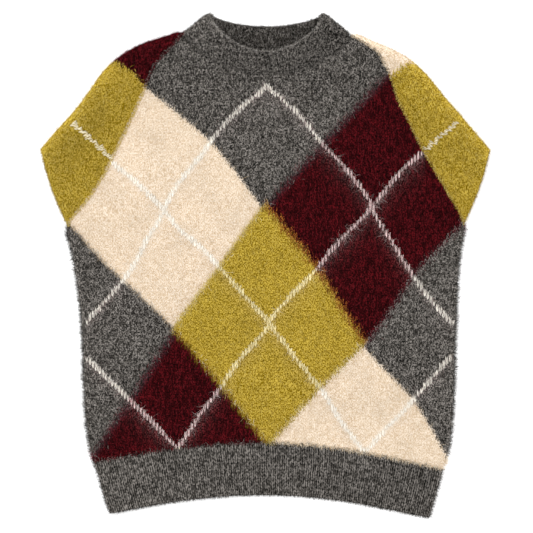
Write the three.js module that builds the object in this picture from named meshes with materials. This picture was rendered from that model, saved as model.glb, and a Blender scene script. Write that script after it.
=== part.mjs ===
// A brushed-knit sweater vest with cap sleeves and a mock neck, laid flat on its back.
// Millimetres. +X is the wearer's left, +Y runs from the hem to the neck, +Z is up from the surface it lies on.
// The origin is under the middle of the garment, on that surface.
import * as THREE from 'three';

// ---- driving sizes -------------------------------------------------------
const WALL = 3;             // brushed single knit
const COLLAR_WALL = 4;      // the neck band is doubled
const SEAM_GAP = 0.7;       // between the middles of the walls where pieces are linked together, over 0.3 at their nearest
const LAYER_GAP = 0.3;      // between the two layers at a closed edge
const CROWN = 0.1;          // how far the top layer stands off the bottom one, away from closed edges
const RIB_CROWN = 0.2;      // the same for the hem rib, which grips tighter
const FOLD_LIFT = 5.6;      // mid-line to mid-line height over the soft fold along a shoulder
const ACROSS = 24;          // facets across the body
const STEPS = 2;            // facets between two table rows
const FOLD_FACETS = 6;      // facets round a sleeve's folded edge

// The body, a row for each level from the rib seam up to the neck.
// bow: how far the middle of the row stands above (+) or below (-) the line between its ends.
// open: share of the crown that the row's two ends have (0 at a side seam, 1 where a sleeve carries on).
const BODY = [
  { at: 'hem seam', leftX: -231.9, leftY: -264.3, rightX: 239.3, rightY: -274.4, bow: 30.0, open: 0 },
  { at: 'high hip', leftX: -239.3, leftY: -225.1, rightX: 248.7, rightY: -235.9, bow: 24.3, open: 0 },
  { at: 'hip', leftX: -244.0, leftY: -161.7, rightX: 254.1, rightY: -168.4, bow: 16.2, open: 0 },
  { at: 'waist', leftX: -246.0, leftY: -94.2, rightX: 255.5, rightY: -98.2, bow: 9.5, open: 0 },
  { at: 'under bust', leftX: -251.4, leftY: -33.4, rightX: 258.2, rightY: -34.8, bow: 4.1, open: 0 },
  { at: 'side top', leftX: -258.9, leftY: 13.8, rightX: 261.6, rightY: 13.8, bow: 1.4, open: 0 },
  { at: 'underarm', leftX: -266.3, leftY: 53.0, rightX: 267.6, rightY: 55.7, bow: 0, open: 0.1 },
  { at: 'armhole low', leftX: -240.0, leftY: 88.1, rightX: 252.1, rightY: 88.1, bow: -2.7, open: 0.5 },
  { at: 'armhole mid', leftX: -216.3, leftY: 124.5, rightX: 231.2, rightY: 124.5, bow: -6.8, open: 0.8 },
  { at: 'chest', leftX: -200.1, leftY: 158.3, rightX: 211.6, rightY: 158.3, bow: -10.8, open: 0.95 },
  { at: 'armhole high', leftX: -182.6, leftY: 193.4, rightX: 194.1, rightY: 193.4, bow: -16.2, open: 1 },
  { at: 'yoke low', leftX: -167.7, leftY: 227.1, rightX: 177.9, rightY: 227.1, bow: -23.0, open: 1 },
  { at: 'yoke mid', leftX: -158.8, leftY: 250.1, rightX: 171.1, rightY: 250.1, bow: -28.4, open: 1 },
  { at: 'yoke high', leftX: -149.5, leftY: 270.3, rightX: 161.7, rightY: 270.3, bow: -33.8, open: 1 },
  { at: 'shoulder', leftX: -132.6, leftY: 289.2, rightX: 148.2, rightY: 290.6, bow: -40.5, open: 1 },
  { at: 'neck', leftX: -109.7, leftY: 314.9, rightX: 115.8, rightY: 310.8, bow: -53.3, open: 1 },
];
const UNDERARM_ROW = 6;     // the sleeves are joined to the body from this row up
const BACK_NECK_BOW = -19;  // the back of the neck is cut higher
const NECK_ROUND = 0.75;    // how full the rows' bow is towards their ends, at the neck
const HEM_ROUND = 1.2;      // the same at the hem

// The folded outer edge of each cap sleeve, a row for each body row that it meets.
const SHOULDER_FOLD = [
  { at: 'underarm', leftX: -303.4, leftY: 156.9, rightX: 303.4, rightY: 155.6 },
  { at: 'armhole low', leftX: -280.0, leftY: 183.9, rightX: 284.1, rightY: 178.1 },
  { at: 'armhole mid', leftX: -256.2, leftY: 210.4, rightX: 261.8, rightY: 204.8 },
  { at: 'chest', leftX: -237.7, leftY: 234.9, rightX: 240.6, rightY: 229.1 },
  { at: 'armhole high', leftX: -219.3, leftY: 261.3, rightX: 220.3, rightY: 254.4 },
  { at: 'yoke low', leftX: -197.2, leftY: 281.8, rightX: 198.2, rightY: 275.9 },
  { at: 'yoke mid', leftX: -180.1, leftY: 292.5, rightX: 181.6, rightY: 286.5 },
  { at: 'yoke high', leftX: -163.6, leftY: 300.3, rightX: 165.9, rightY: 294.0 },
  { at: 'shoulder', leftX: -143.8, leftY: 306.6, rightX: 149.6, rightY: 300.8 },
  { at: 'neck', leftX: -120.0, leftY: 313.6, rightX: 124.0, rightY: 311.4 },
];
const CUFF_BOW = 3.5;       // the arm opening's edge bows outwards by this much

// The hem rib, a row for each level from its seam down to its cast-off edge.
const RIB = [
  { at: 'seam', leftX: -231.9, leftY: -264.8, rightX: 239.3, rightY: -274.9, bow: 30.0 },
  { at: 'upper', leftX: -224.0, leftY: -288.2, rightX: 234.0, rightY: -296.0, bow: 28.5 },
  { at: 'lower', leftX: -217.6, leftY: -311.0, rightX: 227.4, rightY: -318.5, bow: 27.4 },
  { at: 'edge', leftX: -209.6, leftY: -334.5, rightX: 221.1, rightY: -340.5, bow: 27.3 },
];

// The neck band, a row for each level from its seam to its folded top.
// frontBow and backBow are the middles of its front and back layers, lift the height of the front over the back.
const COLLAR = [
  { at: 'base', leftX: -109.2, leftY: 315.4, rightX: 115.3, rightY: 311.3, frontBow: -53.3, backBow: -19.0, lift: 3.6 },
  { at: 'low', leftX: -101.5, leftY: 322.4, rightX: 106.5, rightY: 320.0, frontBow: -51.5, backBow: -18.2, lift: 4.3 },
  { at: 'mid', leftX: -92.5, leftY: 330.5, rightX: 96.5, rightY: 329.5, frontBow: -51.0, backBow: -18.0, lift: 5.4 },
  { at: 'high', leftX: -84.0, leftY: 335.6, rightX: 87.5, rightY: 335.0, frontBow: -50.6, backBow: -17.6, lift: 6.6 },
  { at: 'top', leftX: -76.0, leftY: 339.6, rightX: 78.6, rightY: 339.2, frontBow: -51.3, backBow: -17.2, lift: 7.2 },
];
const COLLAR_CLEAR = 0.35;  // between the neck band's seam and the body
const COLLAR_FOLD = 2.25;    // radius of the band's mid-line over the soft fold at each end

// Soft low ridges (+) and troughs (-) of the top layer, each along a straight line.
const SOFT_FOLDS = [
  { from: 'right underarm', x0: -240, y0: 60, x1: -120, y1: 140, half: 26, height: 0.1 },
  { from: 'left underarm', x0: 245, y0: 62, x1: 130, y1: 150, half: 24, height: 0.1 },
  { from: 'left side', x0: 215, y0: -20, x1: 90, y1: 20, half: 22, height: -0.1 },
  { from: 'right side', x0: -215, y0: -70, x1: -80, y1: -30, half: 24, height: -0.1 },
  { from: 'low waist', x0: -60, y0: -150, x1: 110, y1: -175, half: 20, height: 0.1 },
  { from: 'rib right', x0: -190, y0: -215, x1: -150, y1: -120, half: 18, height: 0.1 },
  { from: 'rib left', x0: 200, y0: -225, x1: 150, y1: -130, half: 18, height: 0.1 },
];

// ---- the cloth as sections ------------------------------------------------
const mix = (a, b, t) => a + (b - a) * t;
const smooth = (t) => t * t * (3 - 2 * t);

// A table's columns at a fractional row, on a smooth curve through the rows.
function between(table, row) {
  const i = Math.min(Math.floor(row), table.length - 2), t = row - i;
  const [a, b, c, d] = [i - 1, i, i + 1, i + 2].map((k) => table[Math.max(0, Math.min(table.length - 1, k))]);
  const out = {};
  for (const key of Object.keys(b)) {
    if (typeof b[key] !== 'number') continue;
    const m0 = (c[key] - a[key]) / 2, m1 = (d[key] - b[key]) / 2;
    out[key] = (2 * t ** 3 - 3 * t ** 2 + 1) * b[key] + (t ** 3 - 2 * t ** 2 + t) * m0
      + (3 * t ** 2 - 2 * t ** 3) * c[key] + (t ** 3 - t ** 2) * m1;
  }
  return out;
}

// A point of a section at u, 0 at its left end and 1 at its right.
function along(section, u, bow, round) {
  const w = 2 * u - 1;
  return new THREE.Vector2(
    mix(section.leftX, section.rightX, u),
    mix(section.leftY, section.rightY, u) + bow * Math.pow(Math.max(0, 1 - w * w), round),
  );
}

// Height that the soft folds add to the top layer at a point.
function softFolds(x, y) {
  let sum = 0;
  for (const f of SOFT_FOLDS) {
    const dx = f.x1 - f.x0, dy = f.y1 - f.y0, len2 = dx * dx + dy * dy;
    const t = ((x - f.x0) * dx + (y - f.y0) * dy) / len2;
    const c = Math.max(0, Math.min(1, t));
    const off = Math.hypot(x - f.x0 - dx * c, y - f.y0 - dy * c) / f.half;
    if (off < 1) sum += f.height * smooth(1 - off) * Math.sin(Math.PI * Math.min(1, Math.max(0, (t + 0.15) / 1.3)));
  }
  return sum;
}

const LOW_MID = WALL / 2;                          // mid-line of the bottom layer
const TOP_MID = WALL + LAYER_GAP + WALL / 2;       // mid-line of the top layer at a closed edge
const rowRound = (row) => mix(HEM_ROUND, NECK_ROUND, row / (BODY.length - 1));

// Height of the top layer's mid-line at a body row and u.
function topHeight(row, u, x, y) {
  const s = between(BODY, row);
  const edge = Math.min(u, 1 - u) * (s.rightX - s.leftX);   // distance in from the row's end
  const rise = smooth(Math.min(1, edge / 38));
  const closed = smooth(Math.min(1, row / 1.2 + 0.55));     // flatter towards the rib
  return TOP_MID + CROWN * mix(s.open, 1, rise) * closed + softFolds(x, y) * mix(s.open, 1, rise);
}

// A closed wall about a grid of mid-line points (rows of columns). Its outer face looks along the grid's normal.
function wall(grid, thickness, { ring = false } = {}) {
  const rows = grid.length, cols = grid[0].length;
  const at = (i, j) => grid[Math.max(0, Math.min(rows - 1, i))][ring ? (j + cols) % cols : Math.max(0, Math.min(cols - 1, j))];
  const position = [], index = [];
  for (const side of [1, -1]) {
    for (let i = 0; i < rows; i++) {
      for (let j = 0; j < cols; j++) {
        const across = at(i, j + 1).clone().sub(at(i, j - 1));
        const up = at(i + 1, j).clone().sub(at(i - 1, j));
        const n = across.cross(up).normalize();
        const p = at(i, j).clone().addScaledVector(n, side * thickness / 2);
        position.push(p.x, p.y, p.z);
      }
    }
  }
  const id = (side, i, j) => side * rows * cols + i * cols + (ring ? j % cols : j);
  const quad = (a, b, c, d) => index.push(a, b, c, a, c, d);
  const spans = ring ? cols : cols - 1;
  for (let i = 0; i < rows - 1; i++) {
    for (let j = 0; j < spans; j++) {
      quad(id(0, i, j), id(0, i, j + 1), id(0, i + 1, j + 1), id(0, i + 1, j));
      quad(id(1, i, j), id(1, i + 1, j), id(1, i + 1, j + 1), id(1, i, j + 1));
    }
  }
  for (let j = 0; j < spans; j++) {
    quad(id(0, 0, j), id(1, 0, j), id(1, 0, j + 1), id(0, 0, j + 1));
    quad(id(0, rows - 1, j + 1), id(1, rows - 1, j + 1), id(1, rows - 1, j), id(0, rows - 1, j));
  }
  if (!ring) {
    for (let i = 0; i < rows - 1; i++) {
      quad(id(0, i + 1, 0), id(1, i + 1, 0), id(1, i, 0), id(0, i, 0));
      quad(id(0, i, cols - 1), id(1, i, cols - 1), id(1, i + 1, cols - 1), id(0, i + 1, cols - 1));
    }
  }
  const geometry = new THREE.BufferGeometry();
  geometry.setAttribute('position', new THREE.Float32BufferAttribute(position, 3));
  geometry.setIndex(index);
  geometry.computeVertexNormals();
  return geometry;
}

// ---- body panels ----------------------------------------------------------
const LAST = BODY.length - 1;

function frontGrid() {
  const grid = [];
  for (let r = 0; r <= LAST * STEPS; r++) {
    const row = r / STEPS, s = between(BODY, row), line = [];
    for (let c = 0; c <= ACROSS; c++) {
      const u = c / ACROSS, p = along(s, u, s.bow, rowRound(row));
      line.push(new THREE.Vector3(p.x, p.y, topHeight(row, u, p.x, p.y)));
    }
    grid.push(line);
  }
  return grid;
}

// The back's neck row, its ends as the front's.
const backNeckRow = { ...BODY[LAST], bow: BACK_NECK_BOW };

// A flat wall lying on the surface, from its outline.
function flatWall(outline) {
  const geometry = new THREE.ExtrudeGeometry(new THREE.Shape(outline), { depth: WALL, bevelEnabled: false });
  geometry.deleteAttribute('uv');
  return geometry;
}

function backOutline() {
  const outline = [];
  for (let c = 0; c <= ACROSS; c++) outline.push(along(BODY[0], c / ACROSS, BODY[0].bow, HEM_ROUND));
  for (let r = 1; r < LAST * STEPS; r++) {
    const s = between(BODY, r / STEPS);
    outline.push(new THREE.Vector2(s.rightX, s.rightY));
  }
  for (let c = ACROSS; c >= 0; c--) outline.push(along(backNeckRow, c / ACROSS, BACK_NECK_BOW, NECK_ROUND));
  for (let r = LAST * STEPS - 1; r > 0; r--) {
    const s = between(BODY, r / STEPS);
    outline.push(new THREE.Vector2(s.leftX, s.leftY));
  }
  return outline;
}

// ---- hem rib ---------------------------------------------------------------
function ribGrid() {
  const grid = [];
  const last = RIB.length - 1;
  for (let r = last; r >= 0; r--) {
    const s = RIB[r], line = [];
    for (let c = 0; c <= ACROSS; c++) {
      const u = c / ACROSS, p = along(s, u, s.bow, HEM_ROUND);
      const edge = smooth(Math.min(1, Math.min(u, 1 - u) * (s.rightX - s.leftX) / 30));
      const seam = topHeight(0, u, p.x, p.y) - TOP_MID;
      line.push(new THREE.Vector3(p.x, p.y, TOP_MID + mix(seam, RIB_CROWN * edge, smooth(r / last))));
    }
    grid.push(line);
  }
  return grid;
}

function ribOutline() {
  const outline = [], last = RIB.length - 1;
  for (let c = 0; c <= ACROSS; c++) outline.push(along(RIB[last], c / ACROSS, RIB[last].bow, HEM_ROUND));
  for (let r = last - 1; r > 0; r--) outline.push(new THREE.Vector2(RIB[r].rightX, RIB[r].rightY));
  for (let c = ACROSS; c >= 0; c--) outline.push(along(RIB[0], c / ACROSS, RIB[0].bow, HEM_ROUND));
  for (let r = 1; r < last; r++) outline.push(new THREE.Vector2(RIB[r].leftX, RIB[r].leftY));
  return outline;
}

// ---- cap sleeves -----------------------------------------------------------
// Each is one piece: a top layer from the front seam out to the fold, the soft fold, and a bottom layer back to the back seam.
function sleeveGrid(side) {
  const X = side < 0 ? 'leftX' : 'rightX', Y = side < 0 ? 'leftY' : 'rightY';
  const grid = [];
  const count = (LAST - UNDERARM_ROW) * STEPS;
  const layer = 5;
  for (let r = 0; r <= count; r++) {
    const row = UNDERARM_ROW + r / STEPS;
    const body = between(BODY, row), fold = between(SHOULDER_FOLD, r / STEPS);
    const seam = new THREE.Vector2(body[X], body[Y]), outer = new THREE.Vector2(fold[X], fold[Y]);
    const dir = outer.clone().sub(seam), width = dir.length();
    dir.normalize();
    // The seam edge clears the body's edge all along, also where the row runs nearly along the seam.
    const next = between(BODY, Math.min(LAST, row + 0.5)), prev = between(BODY, Math.max(UNDERARM_ROW, row - 0.5));
    const seamDir = new THREE.Vector2(next[X] - prev[X], next[Y] - prev[Y]).normalize();
    const out = new THREE.Vector2(side * seamDir.y * (side < 0 ? 1 : 1), -side * seamDir.x);
    const start = seam.clone().addScaledVector(out, SEAM_GAP);
    const seamTop = topHeight(row, side < 0 ? 0 : 1, seam.x, seam.y);
    const reach = Math.min(1, width / 60);
    const foldTop = LOW_MID + mix(4.2, FOLD_LIFT, reach);
    const radius = (foldTop - LOW_MID) / 2;
    const centre = outer.clone().addScaledVector(dir, -(radius + WALL / 2));
    const bowAt = (t) => CUFF_BOW * (1 - r / count) * Math.sin(Math.PI * t);
    const normalOut = new THREE.Vector2(-dir.y, dir.x).multiplyScalar(side < 0 ? 1 : -1);
    const line = [];
    const flat = (t) => start.clone().lerp(centre, t).addScaledVector(normalOut, bowAt(t));
    for (let c = 0; c < layer; c++) {
      const t = c / layer, p = flat(t);
      const z = mix(seamTop, foldTop, smooth(t)) + softFolds(p.x, p.y) * (1 - t) * body.open;
      line.push(new THREE.Vector3(p.x, p.y, c === 0 ? seamTop : z));
    }
    for (let c = 0; c <= FOLD_FACETS; c++) {
      const a = Math.PI / 2 - Math.PI * c / FOLD_FACETS;
      const p = centre.clone().addScaledVector(dir, radius * Math.cos(a));
      line.push(new THREE.Vector3(p.x, p.y, LOW_MID + radius + radius * Math.sin(a)));
    }
    for (let c = layer - 1; c >= 0; c--) {
      const p = flat(c / layer);
      line.push(new THREE.Vector3(p.x, p.y, LOW_MID));
    }
    grid.push(side < 0 ? line.reverse() : line);
  }
  return grid;
}

// ---- neck band -------------------------------------------------------------
// A flattened tube: its front layer left to right, the soft fold at its right end, its back layer, the fold at its left.
function collarGrid() {
  const grid = [], low = COLLAR_WALL / 2;
  for (const s of COLLAR) {
    const line = [], N = ACROSS;
    const layer = (c, bow) => {
      const p = along(s, c / N, bow, NECK_ROUND), q = along(s, c / N + 0.001, bow, NECK_ROUND);
      const n = new THREE.Vector2(p.y - q.y, q.x - p.x).normalize();
      return p.addScaledVector(n, COLLAR_CLEAR);
    };
    const fold = (side) => {
      const c = side > 0 ? N - 1 : 1, f = layer(c, s.frontBow), b = layer(c, s.backBow);
      const apex = new THREE.Vector2(side > 0 ? s.rightX : s.leftX, side > 0 ? s.rightY : s.leftY);
      apex.x -= side * COLLAR_WALL / 2;
      const bulge = apex.sub(f.clone().lerp(b, 0.5)), points = [];
      for (let k = 1; k < 4; k++) {
        const t = k / 4, p = f.clone().lerp(b, t).addScaledVector(bulge, Math.sin(Math.PI * t));
        points.push(new THREE.Vector3(p.x, p.y, low + COLLAR_FOLD * (1 + Math.cos(Math.PI * t))));
      }
      return side > 0 ? points : points.reverse();
    };
    for (let c = 1; c < N; c++) {
      const p = layer(c, s.frontBow), rise = smooth(Math.min(1, (Math.min(c, N - c) - 1) / 3));
      line.push(new THREE.Vector3(p.x, p.y, low + mix(2 * COLLAR_FOLD, s.lift, rise)));
    }
    line.push(...fold(1));
    for (let c = N - 1; c > 0; c--) {
      const p = layer(c, s.backBow);
      line.push(new THREE.Vector3(p.x, p.y, low));
    }
    line.push(...fold(-1));
    grid.push(line);
  }
  return grid;
}

// ---- the garment -----------------------------------------------------------
const GREY = 0x565350, MAROON = 0x3d0a14, MUSTARD = 0xa8903a, CREAM = 0xeed8bc;
const knit = (color) => new THREE.MeshStandardMaterial({ color, roughness: 0.95, metalness: 0, side: THREE.DoubleSide });
const garment = new THREE.Group();

function add(name, geometry, color) {
  const mesh = new THREE.Mesh(geometry, knit(color));
  mesh.name = name;
  garment.add(mesh);
}

add('back_panel', flatWall(backOutline()), MUSTARD);
add('front_panel', wall(frontGrid(), WALL), CREAM);
add('hem_rib_back', flatWall(ribOutline()), GREY);
add('hem_rib_front', wall(ribGrid(), WALL), GREY);
add('sleeve_right', wall(sleeveGrid(-1), WALL), MAROON);
add('sleeve_left', wall(sleeveGrid(1), WALL), MUSTARD);
add('collar', wall(collarGrid(), COLLAR_WALL, { ring: true }), GREY);

export default garment;
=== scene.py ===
"""The looks of a brushed-knit argyle sweater vest, laid flat: shells on its panels, ribs, seams, overlay stitches and loose fuzz."""
import math
import bpy
import numpy as np
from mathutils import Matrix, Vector
from mathutils.geometry import delaunay_2d_cdt


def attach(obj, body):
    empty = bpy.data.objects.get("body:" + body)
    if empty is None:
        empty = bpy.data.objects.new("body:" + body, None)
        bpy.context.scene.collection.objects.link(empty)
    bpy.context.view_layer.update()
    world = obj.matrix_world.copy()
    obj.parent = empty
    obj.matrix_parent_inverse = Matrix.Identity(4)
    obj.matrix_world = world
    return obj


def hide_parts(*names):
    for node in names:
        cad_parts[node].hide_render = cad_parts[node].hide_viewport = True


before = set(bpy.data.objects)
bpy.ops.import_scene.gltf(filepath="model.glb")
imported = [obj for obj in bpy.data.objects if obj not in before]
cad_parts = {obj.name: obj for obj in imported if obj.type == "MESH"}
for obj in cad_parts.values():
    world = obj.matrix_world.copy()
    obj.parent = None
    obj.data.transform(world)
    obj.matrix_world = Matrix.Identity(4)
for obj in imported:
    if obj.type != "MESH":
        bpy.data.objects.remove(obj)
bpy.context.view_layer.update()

MM = 0.001
RNG = np.random.default_rng(20417)

# ---------------------------------------------------------------- sizes, mm
WALL, COLLAR_WALL = 3.0, 4.0
LAYER_GAP, CROWN, RIB_CROWN, FOLD_LIFT = 0.3, 0.1, 0.2, 5.6
WALE, COURSE = 4.3, 4.2            # one stitch, across and along
LOW_MID, TOP_MID = WALL / 2, WALL + LAYER_GAP + WALL / 2

# leftX, leftY, rightX, rightY, bow, open: as the CAD's body rows, from the hem seam to the neck
BODY = np.array([
    (-231.9, -264.3, 239.3, -274.4, 30.0, 0), (-239.3, -225.1, 248.7, -235.9, 24.3, 0),
    (-244.0, -161.7, 254.1, -168.4, 16.2, 0), (-246.0, -94.2, 255.5, -98.2, 9.5, 0),
    (-251.4, -33.4, 258.2, -34.8, 4.1, 0), (-258.9, 13.8, 261.6, 13.8, 1.4, 0),
    (-266.3, 53.0, 267.6, 55.7, 0, 0.1), (-240.0, 88.1, 252.1, 88.1, -2.7, 0.5),
    (-216.3, 124.5, 231.2, 124.5, -6.8, 0.8), (-200.1, 158.3, 211.6, 158.3, -10.8, 0.95),
    (-182.6, 193.4, 194.1, 193.4, -16.2, 1), (-167.7, 227.1, 177.9, 227.1, -23.0, 1),
    (-158.8, 250.1, 171.1, 250.1, -28.4, 1), (-149.5, 270.3, 161.7, 270.3, -33.8, 1),
    (-132.6, 289.2, 148.2, 290.6, -40.5, 1), (-109.7, 314.9, 115.8, 310.8, -53.3, 1)])
LAST, UNDERARM = len(BODY) - 1, 6
BACK_NECK_BOW, NECK_ROUND, HEM_ROUND = -19.0, 0.75, 1.2
# leftX, leftY, rightX, rightY of the folded shoulder edge, a row for each body row from the underarm
FOLD = np.array([
    (-303.4, 156.9, 303.4, 155.6), (-280.0, 183.9, 284.1, 178.1), (-256.2, 210.4, 261.8, 204.8),
    (-237.7, 234.9, 240.6, 229.1), (-219.3, 261.3, 220.3, 254.4), (-197.2, 281.8, 198.2, 275.9),
    (-180.1, 292.5, 181.6, 286.5), (-163.6, 300.3, 165.9, 294.0), (-143.8, 306.6, 149.6, 300.8),
    (-120.0, 313.6, 124.0, 311.4)])
CUFF_BOW = 3.5
# leftX, leftY, rightX, rightY, bow of the hem rib, from its seam to its cast-off edge
RIB = np.array([
    (-231.9, -263.4, 239.3, -273.5, 30.0), (-224.0, -288.2, 234.0, -296.0, 28.5),
    (-217.6, -311.0, 227.4, -318.5, 27.4), (-209.6, -334.5, 221.1, -340.5, 27.3)])
# leftX, leftY, rightX, rightY, frontBow, backBow, lift of the neck band, from its seam to its top
COLLAR = np.array([
    (-109.2, 314.2, 115.3, 310.1, -53.6, -19.2, 3.9), (-101.5, 321.0, 106.5, 318.8, -51.5, -18.2, 4.3),
    (-92.5, 328.3, 96.5, 326.5, -51.0, -18.0, 5.4), (-84.0, 335.2, 87.5, 334.0, -50.6, -17.6, 6.6),
    (-76.0, 339.6, 78.6, 339.2, -51.3, -17.2, 7.2)])
COLLAR_FOLD = 2.25
# x0, y0, x1, y1, half width, height of soft low ridges and troughs
SOFT = [(-240, 60, -120, 140, 26, 0.7), (245, 62, 130, 150, 24, 0.7), (215, -20, 90, 20, 22, -0.6),
        (-215, -70, -80, -30, 24, -0.6), (-60, -150, 110, -175, 20, 0.5), (-190, -215, -150, -120, 18, 0.5),
        (200, -225, 150, -130, 18, 0.5)]

# The argyle: two curves that run down to the right and two that run down to the left, between which the blocks lie
DOWN_RIGHT = {
    "d1": [(-215, 300), (-161, 246), (-70.5, 169.1), (-3, 84), (67.2, -3.7), (134.7, -105), (202.2, -177.9), (245, -249.4), (272, -300)],
    "d2": [(-290, 82), (-261, 49), (-223.1, 5.7), (-196, -20), (-124.5, -87.4), (-58.4, -165.7), (3.7, -245.4), (30, -280)]}
DOWN_LEFT = {
    "d3": [(215, 305), (165.7, 260.9), (90, 181), (1, 82.7), (-62.4, -3.7), (-124.5, -87.4), (-176, -167), (-224, -238), (-252, -280)],
    "d4": [(310, 110), (265.6, 58.4), (203, -9), (136, -103.6), (77, -164), (3.7, -245.4), (-25, -280)]}
# The ivory overlay line: six runs of stitches across the front
OVERLAY = [
    [(1, 241.3), (-37.5, 209.6), (-70.5, 172.5), (-85.4, 150.9), (-117.8, 111), (-134, 83.4), (-142.8, 62.4), (-158.8, 37.5), (-174.9, 5.7), (-193.4, -21.3), (-242, -76.6)],
    [(-206.9, 140.7), (-163.7, 104.3), (-134, 71.9), (-115, 48.9), (-83.2, 21.9), (-62.4, -1), (-3, -67.2), (5, -76.6), (35.3, -115.8), (67.2, -156.3), (73.9, -163), (103.6, -211.6), (133.9, -250.8)],
    [(1, 243.3), (14.5, 232.5), (46.9, 202.8), (76.6, 165.7), (99.6, 142.8), (119.8, 117.8), (142.8, 85.4), (147.6, 69.6), (161.3, 48.9), (175.2, 26), (192.7, -2.4), (200.3, -14.5), (221.1, -42.2), (239.2, -63.1), (252.9, -76.6)],
    [(216.3, 156.5), (184.2, 129.1), (152.2, 90.1), (142.8, 78.6), (129.3, 62.4), (96.9, 30.6), (69.9, -3.2), (35.3, -39.8), (7.8, -69.9), (-0.9, -88), (-37.5, -129.3), (-58.4, -161.3), (-83.2, -193.4), (-103.9, -225.1), (-117.8, -246)],
    [(-241.3, -124.6), (-216.3, -147.6), (-188.7, -175.2), (-167.7, -195.4), (-144.8, -218.4), (-117.8, -246)],
    [(251.9, -119.8), (227.8, -147.6), (202.2, -177.3), (184.6, -198.1), (161.3, -221.1), (136, -250.8)]]
SLEEVE_LINE = {-1: [(-264.3, 195.5), (-240, 174), (-211.4, 147.5)], 1: [(264.3, 197.9), (240, 177), (216.3, 156.5)]}
# Where a sleeve's upper colour gives way to mustard
SLEEVE_SPLIT = {-1: [(-225, 275), (-206.9, 272.2), (-200.1, 272.2), (-188.7, 266.3), (-177.2, 259.5), (-170.4, 248.7), (-160, 238)],
                1: [(222, 276), (200.3, 273.4), (193.4, 273), (184.6, 268.6), (177.2, 262.9), (170.4, 257.4), (160, 250)]}

# ---------------------------------------------------------------- helpers
def mix(a, b, t):
    return a + (b - a) * t


def smooth(t):
    t = np.clip(t, 0, 1)
    return t * t * (3 - 2 * t)


def rows_at(table, row):
    """A table's columns at fractional rows, on a smooth curve through the rows."""
    row = np.atleast_1d(np.asarray(row, float))
    i = np.clip(np.floor(row).astype(int), 0, len(table) - 2)
    t = (row - i)[:, None]
    a, b, c, d = (table[np.clip(i + k, 0, len(table) - 1)] for k in (-1, 0, 1, 2))
    m0, m1 = (c - a) / 2, (d - b) / 2
    return (2 * t**3 - 3 * t**2 + 1) * b + (t**3 - 2 * t**2 + t) * m0 + (3 * t**2 - 2 * t**3) * c + (t**3 - t**2) * m1


def bowed(s, u, bow, round_):
    w = 2 * u - 1
    return (mix(s[:, 0], s[:, 2], u),
            mix(s[:, 1], s[:, 3], u) + bow * np.power(np.clip(1 - w * w, 0, None), round_))


def soft_folds(x, y):
    total = np.zeros_like(x)
    for x0, y0, x1, y1, half, height in SOFT:
        dx, dy = x1 - x0, y1 - y0
        t = ((x - x0) * dx + (y - y0) * dy) / (dx * dx + dy * dy)
        c = np.clip(t, 0, 1)
        off = np.hypot(x - x0 - dx * c, y - y0 - dy * c) / half
        total += height * smooth(1 - off) * np.sin(np.pi * np.clip((t + 0.15) / 1.3, 0, 1))
    return total


def top_height(row, u, x, y):
    """Height of the top layer's mid-line at a body row and u."""
    s = rows_at(BODY, row)
    edge = np.minimum(u, 1 - u) * (s[:, 2] - s[:, 0])
    rise = smooth(edge / 38)
    share = mix(s[:, 5], 1, rise)
    return TOP_MID + CROWN * share * smooth(row / 1.2 + 0.55) + soft_folds(x, y) * share


def to_row(x, y):
    """The body row and u of points, by a few Newton steps."""
    row = np.interp(y, [-240, -212, -149, -87, -30, 15, 54, 85, 118, 148, 177, 204, 222, 237, 249, 259.5], np.arange(16))
    for _ in range(14):
        def y_of(r):
            s = rows_at(BODY, r)
            u = np.clip((x - s[:, 0]) / (s[:, 2] - s[:, 0]), 0, 1)
            return bowed(s, u, s[:, 4], mix(HEM_ROUND, NECK_ROUND, r / LAST))[1]
        y0 = y_of(row)
        slope = (y_of(np.clip(row + 0.02, 0, LAST)) - y0) / np.maximum(np.clip(row + 0.02, 0, LAST) - row, 1e-6)
        slope = np.where(slope < 4, 12, slope)
        row = np.clip(row + np.clip((y - y0) / slope, -1.2, 1.2), 0, LAST - 1e-6)
    s = rows_at(BODY, row)
    return row, np.clip((x - s[:, 0]) / (s[:, 2] - s[:, 0]), 0, 1)


def top_of(x, y):
    row, u = to_row(x, y)
    return top_height(row, u, x, y)


def densify(points, step=2.0):
    """A smooth line through points, in even steps."""
    p = np.array(points, float)
    t = np.linspace(0, len(p) - 1, 40 * len(p))
    i = np.clip(np.floor(t).astype(int), 0, len(p) - 2)
    f = (t - i)[:, None]
    a, b, c, d = (p[np.clip(i + k, 0, len(p) - 1)] for k in (-1, 0, 1, 2))
    a = np.where((i == 0)[:, None], 2 * b - c, a)
    d = np.where((i == len(p) - 2)[:, None], 2 * c - b, d)
    q = 0.5 * (2 * b + (c - a) * f + (2 * a - 5 * b + 4 * c - d) * f**2 + (3 * b - a - 3 * c + d) * f**3)
    along = np.r_[0, np.cumsum(np.linalg.norm(np.diff(q, axis=0), axis=1))]
    n = max(2, int(round(along[-1] / step)) + 1)
    at = np.linspace(0, along[-1], n)
    return np.stack([np.interp(at, along, q[:, k]) for k in (0, 1)], 1)


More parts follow.
